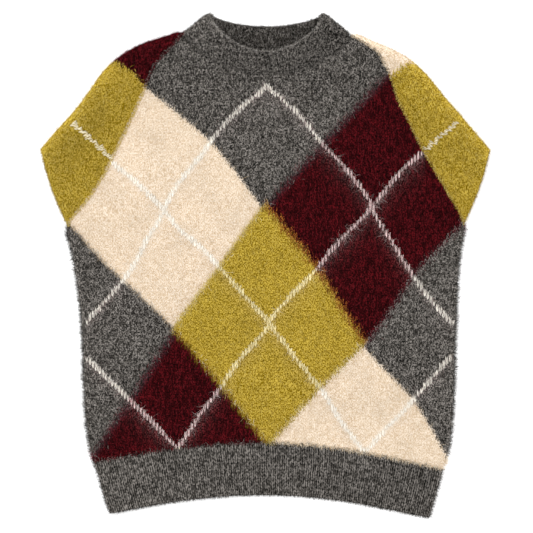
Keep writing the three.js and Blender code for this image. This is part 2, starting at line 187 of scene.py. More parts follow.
def side_of(x, y, line, chunk=6000):
    """Signed distance to a line, + on its left when walked from its first point."""
    q = densify(line, 3.0)
    seg = q[1:] - q[:-1]
    len2 = (seg**2).sum(1)
    out = np.empty(len(x))
    for k in range(0, len(x), chunk):
        p = np.stack([x[k:k + chunk], y[k:k + chunk]], 1)
        rel = p[:, None, :] - q[None, :-1, :]
        t = np.clip((rel * seg[None]).sum(2) / len2, 0, 1)
        off = rel - t[..., None] * seg[None]
        d2 = (off**2).sum(2)
        j = d2.argmin(1)
        r = np.arange(len(p))
        cross = seg[j, 0] * rel[r, j, 1] - seg[j, 1] * rel[r, j, 0]
        out[k:k + chunk] = np.sqrt(d2[r, j]) * np.where(cross >= 0, 1, -1)
    return out


def near_line(x, y, line):
    return np.abs(side_of(x, y, line))


def far_from(x, y, loop, chunk=4000):
    """Distance to a closed outline."""
    a, b = loop, np.roll(loop, -1, 0)
    seg = b - a
    len2 = np.maximum((seg**2).sum(1), 1e-12)
    out = np.empty(len(x))
    for k in range(0, len(x), chunk):
        p = np.stack([x[k:k + chunk], y[k:k + chunk]], 1)
        rel = p[:, None, :] - a[None]
        t = np.clip((rel * seg[None]).sum(2) / len2, 0, 1)
        off = rel - t[..., None] * seg[None]
        out[k:k + chunk] = np.sqrt((off**2).sum(2).min(1))
    return out


def inside(x, y, loop):
    hit = np.zeros(len(x), bool)
    a, b = loop, np.roll(loop, -1, 0)
    for (x0, y0), (x1, y1) in zip(a, b):
        if y0 == y1:
            continue
        crosses = (y0 > y) != (y1 > y)
        hit ^= crosses & (x < (x1 - x0) * (y - y0) / (y1 - y0) + x0)
    return hit


def ripple(x, y, size, seed):
    """A smooth uneven field of about -1 to 1, features about size mm."""
    r = np.random.default_rng(seed)
    total = np.zeros_like(x)
    for _ in range(7):
        a, ph = r.uniform(0, 2 * np.pi), r.uniform(0, 2 * np.pi)
        f = 2 * np.pi / (size * r.uniform(0.7, 1.5))
        total += np.sin((x * np.cos(a) + y * np.sin(a)) * f + ph)
    return total / 3.2


# ---------------------------------------------------------------- argyle
# band above/left of the first curve, between the two, past the second: the colour of each crossing
GREY, CREAM, MAROON, MUSTARD, IVORY = range(5)
CHART = np.array([[GREY, MAROON, GREY], [CREAM, MUSTARD, CREAM], [GREY, MAROON, GREY]])


def argyle_sides(x, y):
    """Signed distances to the four curves: positive past each one."""
    return {**{k: -side_of(x, y, v) for k, v in DOWN_RIGHT.items()}, **{k: side_of(x, y, v) for k, v in DOWN_LEFT.items()}}


def chart_colour(d, jitter=0.0):
    i = (d["d1"] + jitter > 0).astype(int) + (d["d2"] + jitter > 0)
    j = (d["d3"] + jitter > 0).astype(int) + (d["d4"] + jitter > 0)
    return CHART[i, j]


# ---------------------------------------------------------------- meshes
def make(name, verts, faces, attributes=None, smooth_=True, materials=(), material_index=None):
    """faces: a list of arrays, each n x 3 or n x 4."""
    me = bpy.data.meshes.new(name)
    verts = np.asarray(verts, np.float32) * MM
    faces = [np.asarray(f, np.int32) for f in faces if len(f)]
    total = sum(f.size for f in faces)
    me.vertices.add(len(verts))
    me.vertices.foreach_set("co", verts.ravel())
    me.loops.add(total)
    me.loops.foreach_set("vertex_index", np.concatenate([f.ravel() for f in faces]))
    counts = np.concatenate([np.full(len(f), f.shape[1], np.int32) for f in faces])
    me.polygons.add(len(counts))
    me.polygons.foreach_set("loop_start", np.r_[0, np.cumsum(counts)[:-1]].astype(np.int32))
    me.polygons.foreach_set("use_smooth", np.full(len(counts), smooth_))
    for m in materials:
        me.materials.append(m)
    if material_index is not None:
        me.polygons.foreach_set("material_index", np.asarray(material_index, np.int32))
    me.update(calc_edges=True)
    me.validate()
    for key, value in (attributes or {}).items():
        me.attributes.new(key, "FLOAT", "POINT").data.foreach_set("value", np.asarray(value, np.float32))
    ob = bpy.data.objects.new(name, me)
    bpy.context.scene.collection.objects.link(ob)
    return ob


def relief(kx, ky):
    """Height of plain knit: two legs a stitch in each wale, a little bulge in each course."""
    across = 0.5 - 0.5 * np.cos(2 * np.pi * kx)
    return 0.34 * across + 0.16 * across * np.cos(2 * np.pi * ky)


def cdt(points, loop_count):
    edges = [(i, (i + 1) % loop_count) for i in range(loop_count)]
    out = delaunay_2d_cdt([Vector((float(a), float(b))) for a, b in points], edges, [], 1, 1e-4)
    verts = np.array([(v.x, v.y) for v in out[0]])
    if len(verts) != len(points):
        raise RuntimeError("the outline crosses itself")
    return verts, np.array([f for f in out[2] if len(f) == 3], int)


def slab(loop, mid, wall, step, back_step, with_relief, rounding=0.6):
    """A closed shell over an outline: rounded edges, a knitted upper side on a stitch grid and a plainer lower side."""
    nxt, prv = np.roll(loop, -1, 0), np.roll(loop, 1, 0)
    tan = nxt - prv
    tan /= np.linalg.norm(tan, axis=1)[:, None]
    inward = np.stack([-tan[:, 1], tan[:, 0]], 1)
    area = 0.5 * np.sum(loop[:, 0] * nxt[:, 1] - nxt[:, 0] * loop[:, 1])
    inward *= np.sign(area)

    def side_points(sx, sy):
        lo, hi = loop.min(0), loop.max(0)
        xs = (np.arange(math.floor(lo[0] / sx), math.ceil(hi[0] / sx) + 1)) * sx
        ys = (np.arange(math.floor(lo[1] / sy), math.ceil(hi[1] / sy) + 1)) * sy
        gx, gy = (a.ravel() for a in np.meshgrid(xs, ys))
        keep = inside(gx, gy, loop)
        gx, gy = gx[keep], gy[keep]
        far = far_from(gx, gy, loop)
        keep = far > 1.6
        rings = [loop + inward * d for d in (0.18, 0.6)]
        pts = [loop, rings[0][::1], rings[1][::2], np.stack([gx[keep], gy[keep]], 1)]
        extra = np.concatenate(pts[1:3])
        ok = inside(extra[:, 0], extra[:, 1], loop) & (far_from(extra[:, 0], extra[:, 1], loop) > 0.1)
        return np.concatenate([loop, extra[ok], pts[3]])

    def part(sx, sy, sign, relief_on):
        pts, tris = cdt(side_points(sx, sy), len(loop))
        centre = pts[tris].mean(1)
        tris = tris[inside(centre[:, 0], centre[:, 1], loop)]
        a, b, c = (pts[tris[:, k]] for k in range(3))
        turn = (b[:, 0] - a[:, 0]) * (c[:, 1] - a[:, 1]) - (b[:, 1] - a[:, 1]) * (c[:, 0] - a[:, 0])
        tris = tris[np.abs(turn) > 1e-9]
        turn = turn[np.abs(turn) > 1e-9]
        tris = np.where((turn * sign > 0)[:, None], tris, tris[:, ::-1])
        x, y = pts[:, 0], pts[:, 1]
        far = far_from(x, y, loop)
        far[:len(loop)] = 0
        z0 = mid(x, y)
        profile = np.sqrt(np.clip(1 - (1 - np.clip(far / rounding, 0, 1))**2, 0, 1))
        z = z0 + sign * wall / 2 * profile
        if relief_on:
            z += sign * (relief(x / WALE, y / COURSE) - 0.2) * smooth((far - 0.4) / 1.5)
            z += sign * 0.12 * ripple(x, y, 14, 5) * smooth(far / 6)
        return np.stack([x, y, z], 1), tris

    top, top_tris = part(step[0], step[1], 1, with_relief)
    low, low_tris = part(back_step[0], back_step[1], -1, with_relief)
    n = len(loop)
    low_tris = np.where(low_tris < n, low_tris, low_tris + len(top) - n)
    verts = np.concatenate([top, low[n:]])
    verts[:, 2] = np.maximum(verts[:, 2], 0.0)
    return verts, [np.concatenate([top_tris, low_tris])]


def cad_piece(ob, slot, *nodes):
    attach(ob, "root")
    if nodes:
        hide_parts(*nodes)
    return ob


def sheet_wall(grid, wall, ring=False, wobble=None, rounding=0.6):
    """A closed shell about a grid of mid-line points: outer and inner faces with rounded free edges. wobble moves the outer face."""
    rows, cols = grid.shape[:2]
    if ring:
        across = np.roll(grid, -1, 1) - np.roll(grid, 1, 1)
    else:
        across = np.empty_like(grid)
        across[:, 1:-1] = grid[:, 2:] - grid[:, :-2]
        across[:, 0], across[:, -1] = grid[:, 1] - grid[:, 0], grid[:, -1] - grid[:, -2]
    up = np.empty_like(grid)
    up[1:-1] = grid[2:] - grid[:-2]
    up[0], up[-1] = grid[1] - grid[0], grid[-1] - grid[-2]
    n = np.cross(across, up)
    n /= np.maximum(np.linalg.norm(n, axis=2)[..., None], 1e-9)
    # distance in from the free edges, for the rounding
    along_r = np.r_[np.zeros((1, cols)), np.cumsum(np.linalg.norm(np.diff(grid, axis=0), axis=2), 0)]
    edge = np.full((rows, cols), 9.0)
    edge = np.minimum(edge, np.minimum(along_r, along_r[-1:] - along_r))
    if not ring:
        along_c = np.concatenate([np.zeros((rows, 1)), np.cumsum(np.linalg.norm(np.diff(grid, axis=1), axis=2), 1)], 1)
        edge = np.minimum(edge, np.minimum(along_c, along_c[:, -1:] - along_c))
    profile = np.sqrt(np.clip(1 - (1 - np.clip(edge / rounding, 0, 1))**2, 0, 1))
    profile = np.maximum(profile, 0.3)
    lift = np.zeros((rows, cols)) if wobble is None else wobble * smooth(edge / 1.5)
    outer = grid + n * (wall / 2 * profile + lift)[..., None]
    inner = grid - n * (wall / 2 * profile)[..., None]
    verts = np.concatenate([outer.reshape(-1, 3), inner.reshape(-1, 3)])
    verts[:, 2] = np.maximum(verts[:, 2], 0)
    idx = np.arange(rows * cols).reshape(rows, cols)
    j0 = np.arange(cols if ring else cols - 1)
    j1 = (j0 + 1) % cols
    a, b, c, d = idx[:-1][:, j0], idx[:-1][:, j1], idx[1:][:, j1], idx[1:][:, j0]
    N = rows * cols
    quads = [np.stack([a, b, c, d], -1).reshape(-1, 4), np.stack([a + N, d + N, c + N, b + N], -1).reshape(-1, 4)]
    lo, hi = idx[0], idx[-1]
    quads.append(np.stack([lo[j0], lo[j0] + N, lo[j1] + N, lo[j1]], -1))
    quads.append(np.stack([hi[j1], hi[j1] + N, hi[j0] + N, hi[j0]], -1))
    if not ring:
        L, R = idx[:, 0], idx[:, -1]
        quads.append(np.stack([L[1:], L[1:] + N, L[:-1] + N, L[:-1]], -1))
        quads.append(np.stack([R[:-1], R[:-1] + N, R[1:] + N, R[1:]], -1))
    return verts, [np.concatenate(quads)], n


# ---------------------------------------------------------------- materials
ALBEDO = 0.81                      # the studio light is a little over full white, so the wools are that much darker


def linear(hex_):
    c = [int(hex_[i:i + 2], 16) / 255 for i in (1, 3, 5)]
    return tuple(ALBEDO * (v / 12.92 if v <= 0.04045 else ((v + 0.055) / 1.055)**2.4) for v in c) + (1,)


# the dark and the light of each wool, between which its fibres lie
DARKS = {"grey": "#11100e", "cream": "#dbc2a2", "maroon": "#120001", "mustard": "#826800", "rust": "#4a1806"}
LIGHTS = {"grey": "#7f7a74", "cream": "#fcebd7", "maroon": "#500c12", "mustard": "#d0b34a", "rust": "#a8622a"}
GREY_TUFTS = ("#514d48", "#9a948e")      # the light of the grey melange, from tuft to tuft
MAROON_STREAKS = ("#350609", "#65131a")


class Tree:
    """Small helpers for a material's nodes."""

    def __init__(self, mat):
        mat.use_nodes = True
        self.t = mat.node_tree
        self.t.nodes.clear()
        self.out = self.t.nodes.new("ShaderNodeOutputMaterial")

    def new(self, kind, **values):
        n = self.t.nodes.new(kind)
        for k, v in values.items():
            setattr(n, k, v)
        return n

    def link(self, a, b):
        self.t.links.new(a, b)

    def math(self, op, a, b=None, clamp=False):
        n = self.new("ShaderNodeMath", operation=op, use_clamp=clamp)
        for i, v in enumerate((a, b)):
            if v is None:
                continue
            if isinstance(v, (int, float)):
                n.inputs[i].default_value = v
            else:
                self.link(v, n.inputs[i])
        return n.outputs[0]

    def attr(self, name):
        return self.new("ShaderNodeAttribute", attribute_name=name).outputs["Fac"]

    def mix(self, fac, a, b, blend="MIX"):
        n = self.new("ShaderNodeMix", data_type="RGBA", blend_type=blend)
        for s, v in ((n.inputs["Factor"], fac), (n.inputs[6], a), (n.inputs[7], b)):
            if isinstance(v, (int, float)):
                s.default_value = v
            elif isinstance(v, tuple):
                s.default_value = v
            else:
                self.link(v, s)
        return n.outputs[2]

    def step(self, value, low, high):
        n = self.new("ShaderNodeMapRange", interpolation_type="SMOOTHSTEP")
        self.link(value, n.inputs["Value"])
        n.inputs["From Min"].default_value, n.inputs["From Max"].default_value = low, high
        return n.outputs["Result"]

    def noise(self, vector, scale, detail=2.0, rough=0.5):
        n = self.new("ShaderNodeTexNoise")
        n.inputs["Scale"].default_value, n.inputs["Detail"].default_value = scale, detail
        n.inputs["Roughness"].default_value = rough
        self.link(vector, n.inputs["Vector"])
        return n.outputs["Fac"]


def knit_material(name, colour_of, rib=False, sheen=0.03, contrast=1.0):
    """Brushed knit. colour_of(tree, noises, side) gives the blocks in their dark (0) or light (1) colours."""
    mat = bpy.data.materials.new(name)
    t = Tree(mat)
    co = t.new("ShaderNodeTexCoord").outputs["Object"]

    def stretched(x, y, z=1.0):
        n = t.new("ShaderNodeMapping")
        n.inputs["Scale"].default_value = (x, y, z)
        t.link(co, n.inputs["Vector"])
        return n.outputs["Vector"]

    grain = t.noise(stretched(1.2, 0.32 if rib else 0.6), 800, 0.4, 0.5)        # tufts about a stitch leg in size
    curls = t.noise(stretched(1, 0.55), 380, 2.0, 0.65)         # loose curls
    streaks = t.noise(stretched(1, 0.22), 420, 2.0, 0.6)      # long upright hairs
    broad = t.noise(co, 24, 2.0, 0.5)
    noises = {"grain": grain, "curls": curls, "streaks": streaks, "broad": broad}
    tuft = t.math("ADD", t.math("MULTIPLY", t.math("SUBTRACT", grain, 0.5), (2.7 if rib else 6.2) * contrast),
                  t.math("MULTIPLY", t.math("SUBTRACT", curls, 0.5), 0.7 * contrast))
    # stitches: two slanted legs in each wale
    kx, ky = t.attr("kx"), t.attr("ky")
    fx = t.math("ABSOLUTE", t.math("SUBTRACT", t.math("FRACT", kx), 0.5))
    across = t.math("SINE", t.math("MULTIPLY", fx, 2 * math.pi))
    legs = t.math("COSINE", t.math("MULTIPLY", t.math("ADD", ky, fx), 2 * math.pi))
    stitch = t.math("ADD", t.math("MULTIPLY", across, 0.7), t.math("MULTIPLY", legs, 0.15 if rib else 0.3))
    # painted shade: the stitch pattern also darkens the colour in the gaps between the legs and lightens it on them
    tuft = t.math("ADD", tuft, t.math("MULTIPLY", t.math("SUBTRACT", stitch, 0.4), 1.6 if rib else 0.5))
    light = t.math("ADD", tuft, 0.5, clamp=True)
    base = t.mix(light, colour_of(t, noises, 0), colour_of(t, noises, 1))
    # painted light and shade from each piece's shade attribute (random per stitch on the overlay), with a broad uneven
    # mottling
    shade = t.math("MULTIPLY", t.attr("shade"), t.math("ADD", 0.84, t.math("MULTIPLY", broad, 0.32)))
    scaled = t.new("ShaderNodeVectorMath", operation="SCALE")
    t.link(base, scaled.inputs[0])
    t.link(shade, scaled.inputs["Scale"])
    bump = t.new("ShaderNodeBump")
    bump.inputs["Strength"].default_value = 0.5
    bump.inputs["Distance"].default_value = 0.0007
    t.link(t.math("ADD", t.math("MULTIPLY", stitch, 0.8), t.math("MULTIPLY", grain, 1.4)), bump.inputs["Height"])
    p = t.new("ShaderNodeBsdfPrincipled")
    t.link(scaled.outputs["Vector"], p.inputs["Base Color"])
    t.link(bump.outputs["Normal"], p.inputs["Normal"])
    p.inputs["Roughness"].default_value = 0.95
    p.inputs["Specular IOR Level"].default_value = 0.03
    p.inputs["Sheen Weight"].default_value = sheen
    p.inputs["Sheen Roughness"].default_value = 0.5
    t.link(p.outputs[0], t.out.inputs["Surface"])
    return mat


def grey_wool(t, n, side):
    """The grey is a melange: its tufts differ in how light they are."""
    if side == 0:
        return linear(DARKS["grey"])
    return t.mix(t.step(n["curls"], 0.40, 0.60), *(linear(h) for h in GREY_TUFTS))


def maroon_wool(t, n, side):
    """The maroon has lighter upright streaks: a painted highlight where its longer hairs catch the light."""
    if side == 0:
        return linear(DARKS["maroon"])
    return t.mix(t.step(n["streaks"], 0.42, 0.60), *(linear(h) for h in MAROON_STREAKS))


def spread(t, noise, reach):
    """A noise as a shift to and fro, in mm."""
    return t.math("MULTIPLY", t.math("SUBTRACT", noise, 0.5), reach)


# where each edge really lies, in mm past its curve: inner for cream and mustard, outer for grey and maroon,
# side for grey and cream, mid for maroon and mustard
REACH = {"inner3": -2.8, "inner4": 1.2, "outer3": 2.7, "outer4": 4.7, "side1": 4.4, "side2": -2.4, "mid1": -5.5, "mid2": 0.0}


def argyle_colour(t, n, side):
    """The blocks, each edge as hairy as its two wools make it, from each point's distances to the four curves."""
    cream, mustard, rust = (linear((DARKS, LIGHTS)[side][k]) for k in ("cream", "mustard", "rust"))
    maroon = maroon_wool(t, n, side)
    grey = grey_wool(t, n, side)
    close = t.math("ADD", spread(t, n["grain"], 12), spread(t, n["curls"], 10))
    mingled = t.math("ADD", spread(t, n["grain"], 30), spread(t, n["curls"], 24))
    upright = t.math("ADD", spread(t, n["streaks"], 26), spread(t, n["grain"], 12))

    def mask(key, shift, past, soft=1.6):
        """Past a curve, or past mm beyond it where the darker wool's hairs lie over the other."""
        return t.step(t.math("ADD", t.attr(key), shift), past - soft, past + soft)

    tight3, tight4 = mask("d3", close, REACH["inner3"]), mask("d4", close, REACH["inner4"])
    loose3, loose4 = mask("d3", mingled, REACH["outer3"], 2.5), mask("d4", mingled, REACH["outer4"], 2.5)
    middle = t.math("MULTIPLY", tight3, t.math("SUBTRACT", 1.0, tight4))
    first = t.new("ShaderNodeMix", data_type="FLOAT")
    second = t.new("ShaderNodeMix", data_type="FLOAT")
    for node, key, plain, centre, soft in ((first, "d1", "side1", "mid1", 2.5), (second, "d2", "side2", "mid2", 6.0)):
        t.link(middle, node.inputs["Factor"])
        t.link(mask(key, close, REACH[plain], 2.5), node.inputs[2])
        t.link(mask(key, upright, REACH[centre], soft), node.inputs[3])
    # mustard over maroon looks rusty for some way in from the edge
    gold = t.mix(t.step(t.math("ADD", t.attr("d1"), upright), -5.0, 6.5), rust, mustard)
    # and over cream it is paler, for a little way in
    by_cream = t.math("MAXIMUM", t.step(t.math("ADD", t.attr("d3"), close), REACH["inner3"] + 8, REACH["inner3"] - 1),
                      t.step(t.math("ADD", t.attr("d4"), close), REACH["inner4"] - 6, REACH["inner4"] + 1))
    gold = t.mix(t.math("MULTIPLY", by_cream, 0.5), gold, linear(("#b0954a", "#ecdca4")[side]))
    # grey hairs lie over the maroon for some way in
    by_grey = t.math("MAXIMUM", t.step(t.math("ADD", t.attr("d3"), close), REACH["outer3"] + 11, REACH["outer3"]),
                     t.step(t.math("ADD", t.attr("d4"), close), REACH["outer4"] - 9, REACH["outer4"] + 1))
    plum = t.mix(t.math("MULTIPLY", by_grey, 0.42), maroon, linear(("#1b1114", "#6a525a")[side]))
    outer = t.mix(loose4, t.mix(loose3, grey, plum), grey)
    inner = t.mix(tight4, t.mix(tight3, cream, gold), cream)
    blocks = t.mix(second.outputs[0], t.mix(first.outputs[0], outer, inner), outer)
    # a pale haze of loose overlay yarn under its line
    haze = t.math("MULTIPLY", t.attr("haze"), t.step(n["grain"], 0.4, 0.66))
    hazy = t.mix(t.math("MULTIPLY", haze, 0.34), blocks, linear(("#8d7b77", "#d8c4bf")[side]))
    # on cream the line and its fuzz run into one soft pale band
    return t.mix(t.math("MULTIPLY", t.attr("glow"), 0.85), hazy, linear(("#fbeedb", "#fffaf0")[side]))


def sleeve_colour(upper):
    def colour(t, n, side):
        shift = t.math("ADD", spread(t, n["streaks"], 18), spread(t, n["grain"], 14))
        m = t.step(t.math("ADD", t.attr("d1"), shift), -1.2, 1.2)
        above = maroon_wool(t, n, side) if upper == "maroon" else linear((DARKS, LIGHTS)[side][upper])
        return t.mix(m, above, linear((DARKS, LIGHTS)[side]["mustard"]))
    return colour


def strand_material(name, hex_, sheen=0.03):
    mat = bpy.data.materials.new(name)
    t = Tree(mat)
    p = t.new("ShaderNodeBsdfPrincipled")
    p.inputs["Base Color"].default_value = linear(hex_)
    p.inputs["Roughness"].default_value = 0.85
    p.inputs["Specular IOR Level"].default_value = 0.03
    p.inputs["Sheen Weight"].default_value = sheen
    t.link(p.outputs[0], t.out.inputs["Surface"])
    return mat


# ---------------------------------------------------------------- outlines
def body_outline(back=False, step=2.2):
    """Counter-clockwise, from the hem seam's left end."""
    u = np.linspace(0, 1, 400)
    one = np.ones_like(u)
    hem = np.stack(bowed(BODY[0][None] * one[:, None], u, BODY[0][4], HEM_ROUND), 1)
    neck_bow = BACK_NECK_BOW if back else BODY[LAST][4]
    neck = np.stack(bowed(BODY[LAST][None] * one[:, None], u, neck_bow, NECK_ROUND), 1)[::-1]
    r = np.linspace(0, LAST, 900)
    s = rows_at(BODY, r)
    path = np.concatenate([hem, s[1:-1, 2:4], neck, s[1:-1, 0:2][::-1]])
    return even_loop(path, step)


def even_loop(path, step):
    closed = np.concatenate([path, path[:1]])
    d = np.r_[0, np.cumsum(np.linalg.norm(np.diff(closed, axis=0), axis=1))]
    keep = np.r_[True, np.diff(d) > 1e-6]
    closed, d = closed[keep], d[keep]
    at = np.linspace(0, d[-1], int(d[-1] / step) + 1)[:-1]
    return np.stack([np.interp(at, d, closed[:, k]) for k in (0, 1)], 1)


# ---------------------------------------------------------------- pieces
def ground_shares(x, y):
    """How far the ground at points is maroon, and how far it is mustard."""
    d = argyle_sides(x, y)
    u1 = smooth((d["d1"] + 2) / 4) * smooth((2 - d["d2"]) / 4)
    v1 = smooth((d["d3"] + 2) / 4) * smooth((2 - d["d4"]) / 4)
    return v1 * (1 - u1), v1 * u1, u1 * (1 - v1)


argyle = knit_material("argyle_knit_front", argyle_colour)
argyle_back = knit_material("argyle_knit_back", argyle_colour)
grey_rib = knit_material("grey_rib_knit", grey_wool, rib=True)
collar_knit = knit_material("grey_collar_knit", grey_wool)
sleeve_mat = {-1: knit_material("sleeve_knit_maroon_mustard", sleeve_colour("maroon")),
              1: knit_material("sleeve_knit_cream_mustard", sleeve_colour("cream"))}


def haze_at(x, y):
    """0 to 1: how much loose overlay yarn lies at a point, most just under each run of the line."""
    total = np.zeros_like(x)
    for run in OVERLAY:
        d = densify(run, 2.0)
        order = np.argsort(d[:, 1])
        # vertical distance under the run, over its own stretch of x
        o = np.argsort(d[:, 0])
        yy = np.interp(x, d[o, 0], d[o, 1], left=np.nan, right=np.nan)
        below = yy - y
        fade = np.where(below > -2, np.exp(-np.clip(below, 0, None) / 11.0), 0) * smooth((below + 2) / 3)
        total = np.maximum(total, np.nan_to_num(fade))
    return total


def body_attributes(v):
    x, y = v[:, 0], v[:, 1]
    # painted light and shade: a painted highlight along the side edges below the armholes, where the fuzz catches
    # light; darker toward the neck; darker by the hem's left corner; and a painted highlight along the armhole seams
    # that lifts the shade of the seam groove
    rim = np.exp(-far_from(x, y, front_loop) / 7) * smooth((62 - y) / 20) * smooth((y + 262) / 12)
    return {**argyle_sides(x, y), "kx": x / WALE, "ky": y / COURSE, "shade": 1 + 0.12 * rim - 0.08 * smooth((y - 200) / 45) - 0.2 * np.exp(-((x + 205)**2 + (y + 247)**2) / 400) + 0.45 * np.exp(-(far_from(x, y, front_loop) / 1.2)**2) * smooth((y - 56) / 6) * smooth((250 - y) / 10)}


# front panel
front_loop = body_outline()
verts, faces = slab(front_loop, top_of, WALL, (WALE / 2, COURSE / 2), (9, 9), True, rounding=0.4)
att = body_attributes(verts)
att["haze"] = haze_at(verts[:, 0], verts[:, 1])
to_line = np.minimum.reduce([near_line(verts[:, 0], verts[:, 1] + 1.3, run) for run in OVERLAY])
att["glow"] = np.exp(-(to_line / 3.0)**2) * ground_shares(verts[:, 0], verts[:, 1])[2]
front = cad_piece(make("front_cloth", verts, faces, att, materials=[argyle]), "argyle_knit", "front_panel")

# back panel: the same blocks, plainly, on the side it lies on
back_loop = body_outline(back=True)
verts, faces = slab(back_loop, lambda x, y: np.full_like(x, LOW_MID), WALL, (9, 9), (WALE, COURSE), False)
att = body_attributes(verts)
att["haze"] = np.zeros(len(verts))
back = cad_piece(make("back_cloth", verts, faces, att, materials=[argyle_back]), "argyle_knit", "back_panel")


# hem rib
def rib_grid(front_side, cols, rows):
    r = np.linspace(len(RIB) - 1, 0, rows)
    u = np.linspace(0, 1, cols)
    grid = np.empty((rows, cols, 3))
    k = np.empty((rows, cols))
    for i, row in enumerate(r):
        s = np.repeat(rows_at(RIB, row), cols, 0)
        x, y = bowed(s, u, s[:, 4], HEM_ROUND)
        edge = smooth(np.minimum(u, 1 - u) * (s[:, 2] - s[:, 0]) / 30)
        seam = top_height(np.zeros(cols), u, x, y) - TOP_MID
        z = TOP_MID + mix(seam, RIB_CROWN * edge, smooth(row / (len(RIB) - 1))) + 0.4 * max(0, 1 - row * 4) if front_side else np.full(cols, LOW_MID)
        grid[i] = np.stack([x, y, z], 1)
        k[i] = row
    return grid, np.repeat(u[None], rows, 0), k


RIBS = 76


def rib_piece(name, node, front_side, cols, rows):
    grid, u, row = rib_grid(front_side, cols, rows)
    wave = 0.38 * np.cos(2 * np.pi * u * RIBS) + 0.10 * ripple(grid[..., 0], grid[..., 1] * 0.2, 11, 3)
    wave += 0.10 * np.cos(2 * np.pi * row * 23.3 / COURSE) if front_side else 0
    if front_side:
        # the cast-off edge rises and dips with each rib, and isn't quite straight
        edge = np.clip(1 - (len(RIB) - 1 - row) / 0.12, 0, 1)
        grid[..., 1] -= edge * (0.45 * np.cos(2 * np.pi * u * RIBS) + 0.35 * ripple(grid[..., 0], grid[..., 0] * 0, 30, 8))
    verts, faces, _ = sheet_wall(grid, WALL, wobble=wave if front_side else None)
    # painted light: darker toward the right end, with a painted highlight along both ends and a little along the
    # cast-off edge
    shade = 0.87 + 0.06 * (0.5 - u) * 2 - 0.05 * smooth((u - 0.7) / 0.2) + 0.10 * np.exp(-np.minimum(u, 1 - u) * 450 / 6) + 0.05 * smooth((row - 2.2) / 0.8)
    # painted shade: a few ribs are darker, as if they sat deeper than the rest
    shade *= 1 - 0.09 * smooth((np.sin(u * RIBS * 2 * np.pi * 0.137 + 1) + np.sin(u * RIBS * 2 * np.pi * 0.083) - 1.2) / 0.5)
    att = {"kx": np.tile(u.ravel() * RIBS, 2), "ky": np.tile(row.ravel() * 23.3 / COURSE, 2), "shade": np.tile(shade.ravel(), 2)}
    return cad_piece(make(name, verts, faces, att, materials=[grey_rib]), "rib_knit", node)


rib_front = rib_piece("hem_rib_cloth_front", "hem_rib_front", True, RIBS * 6 + 1, 17)
rib_back = rib_piece("hem_rib_cloth_back", "hem_rib_back", False, RIBS * 4 + 1, 9)


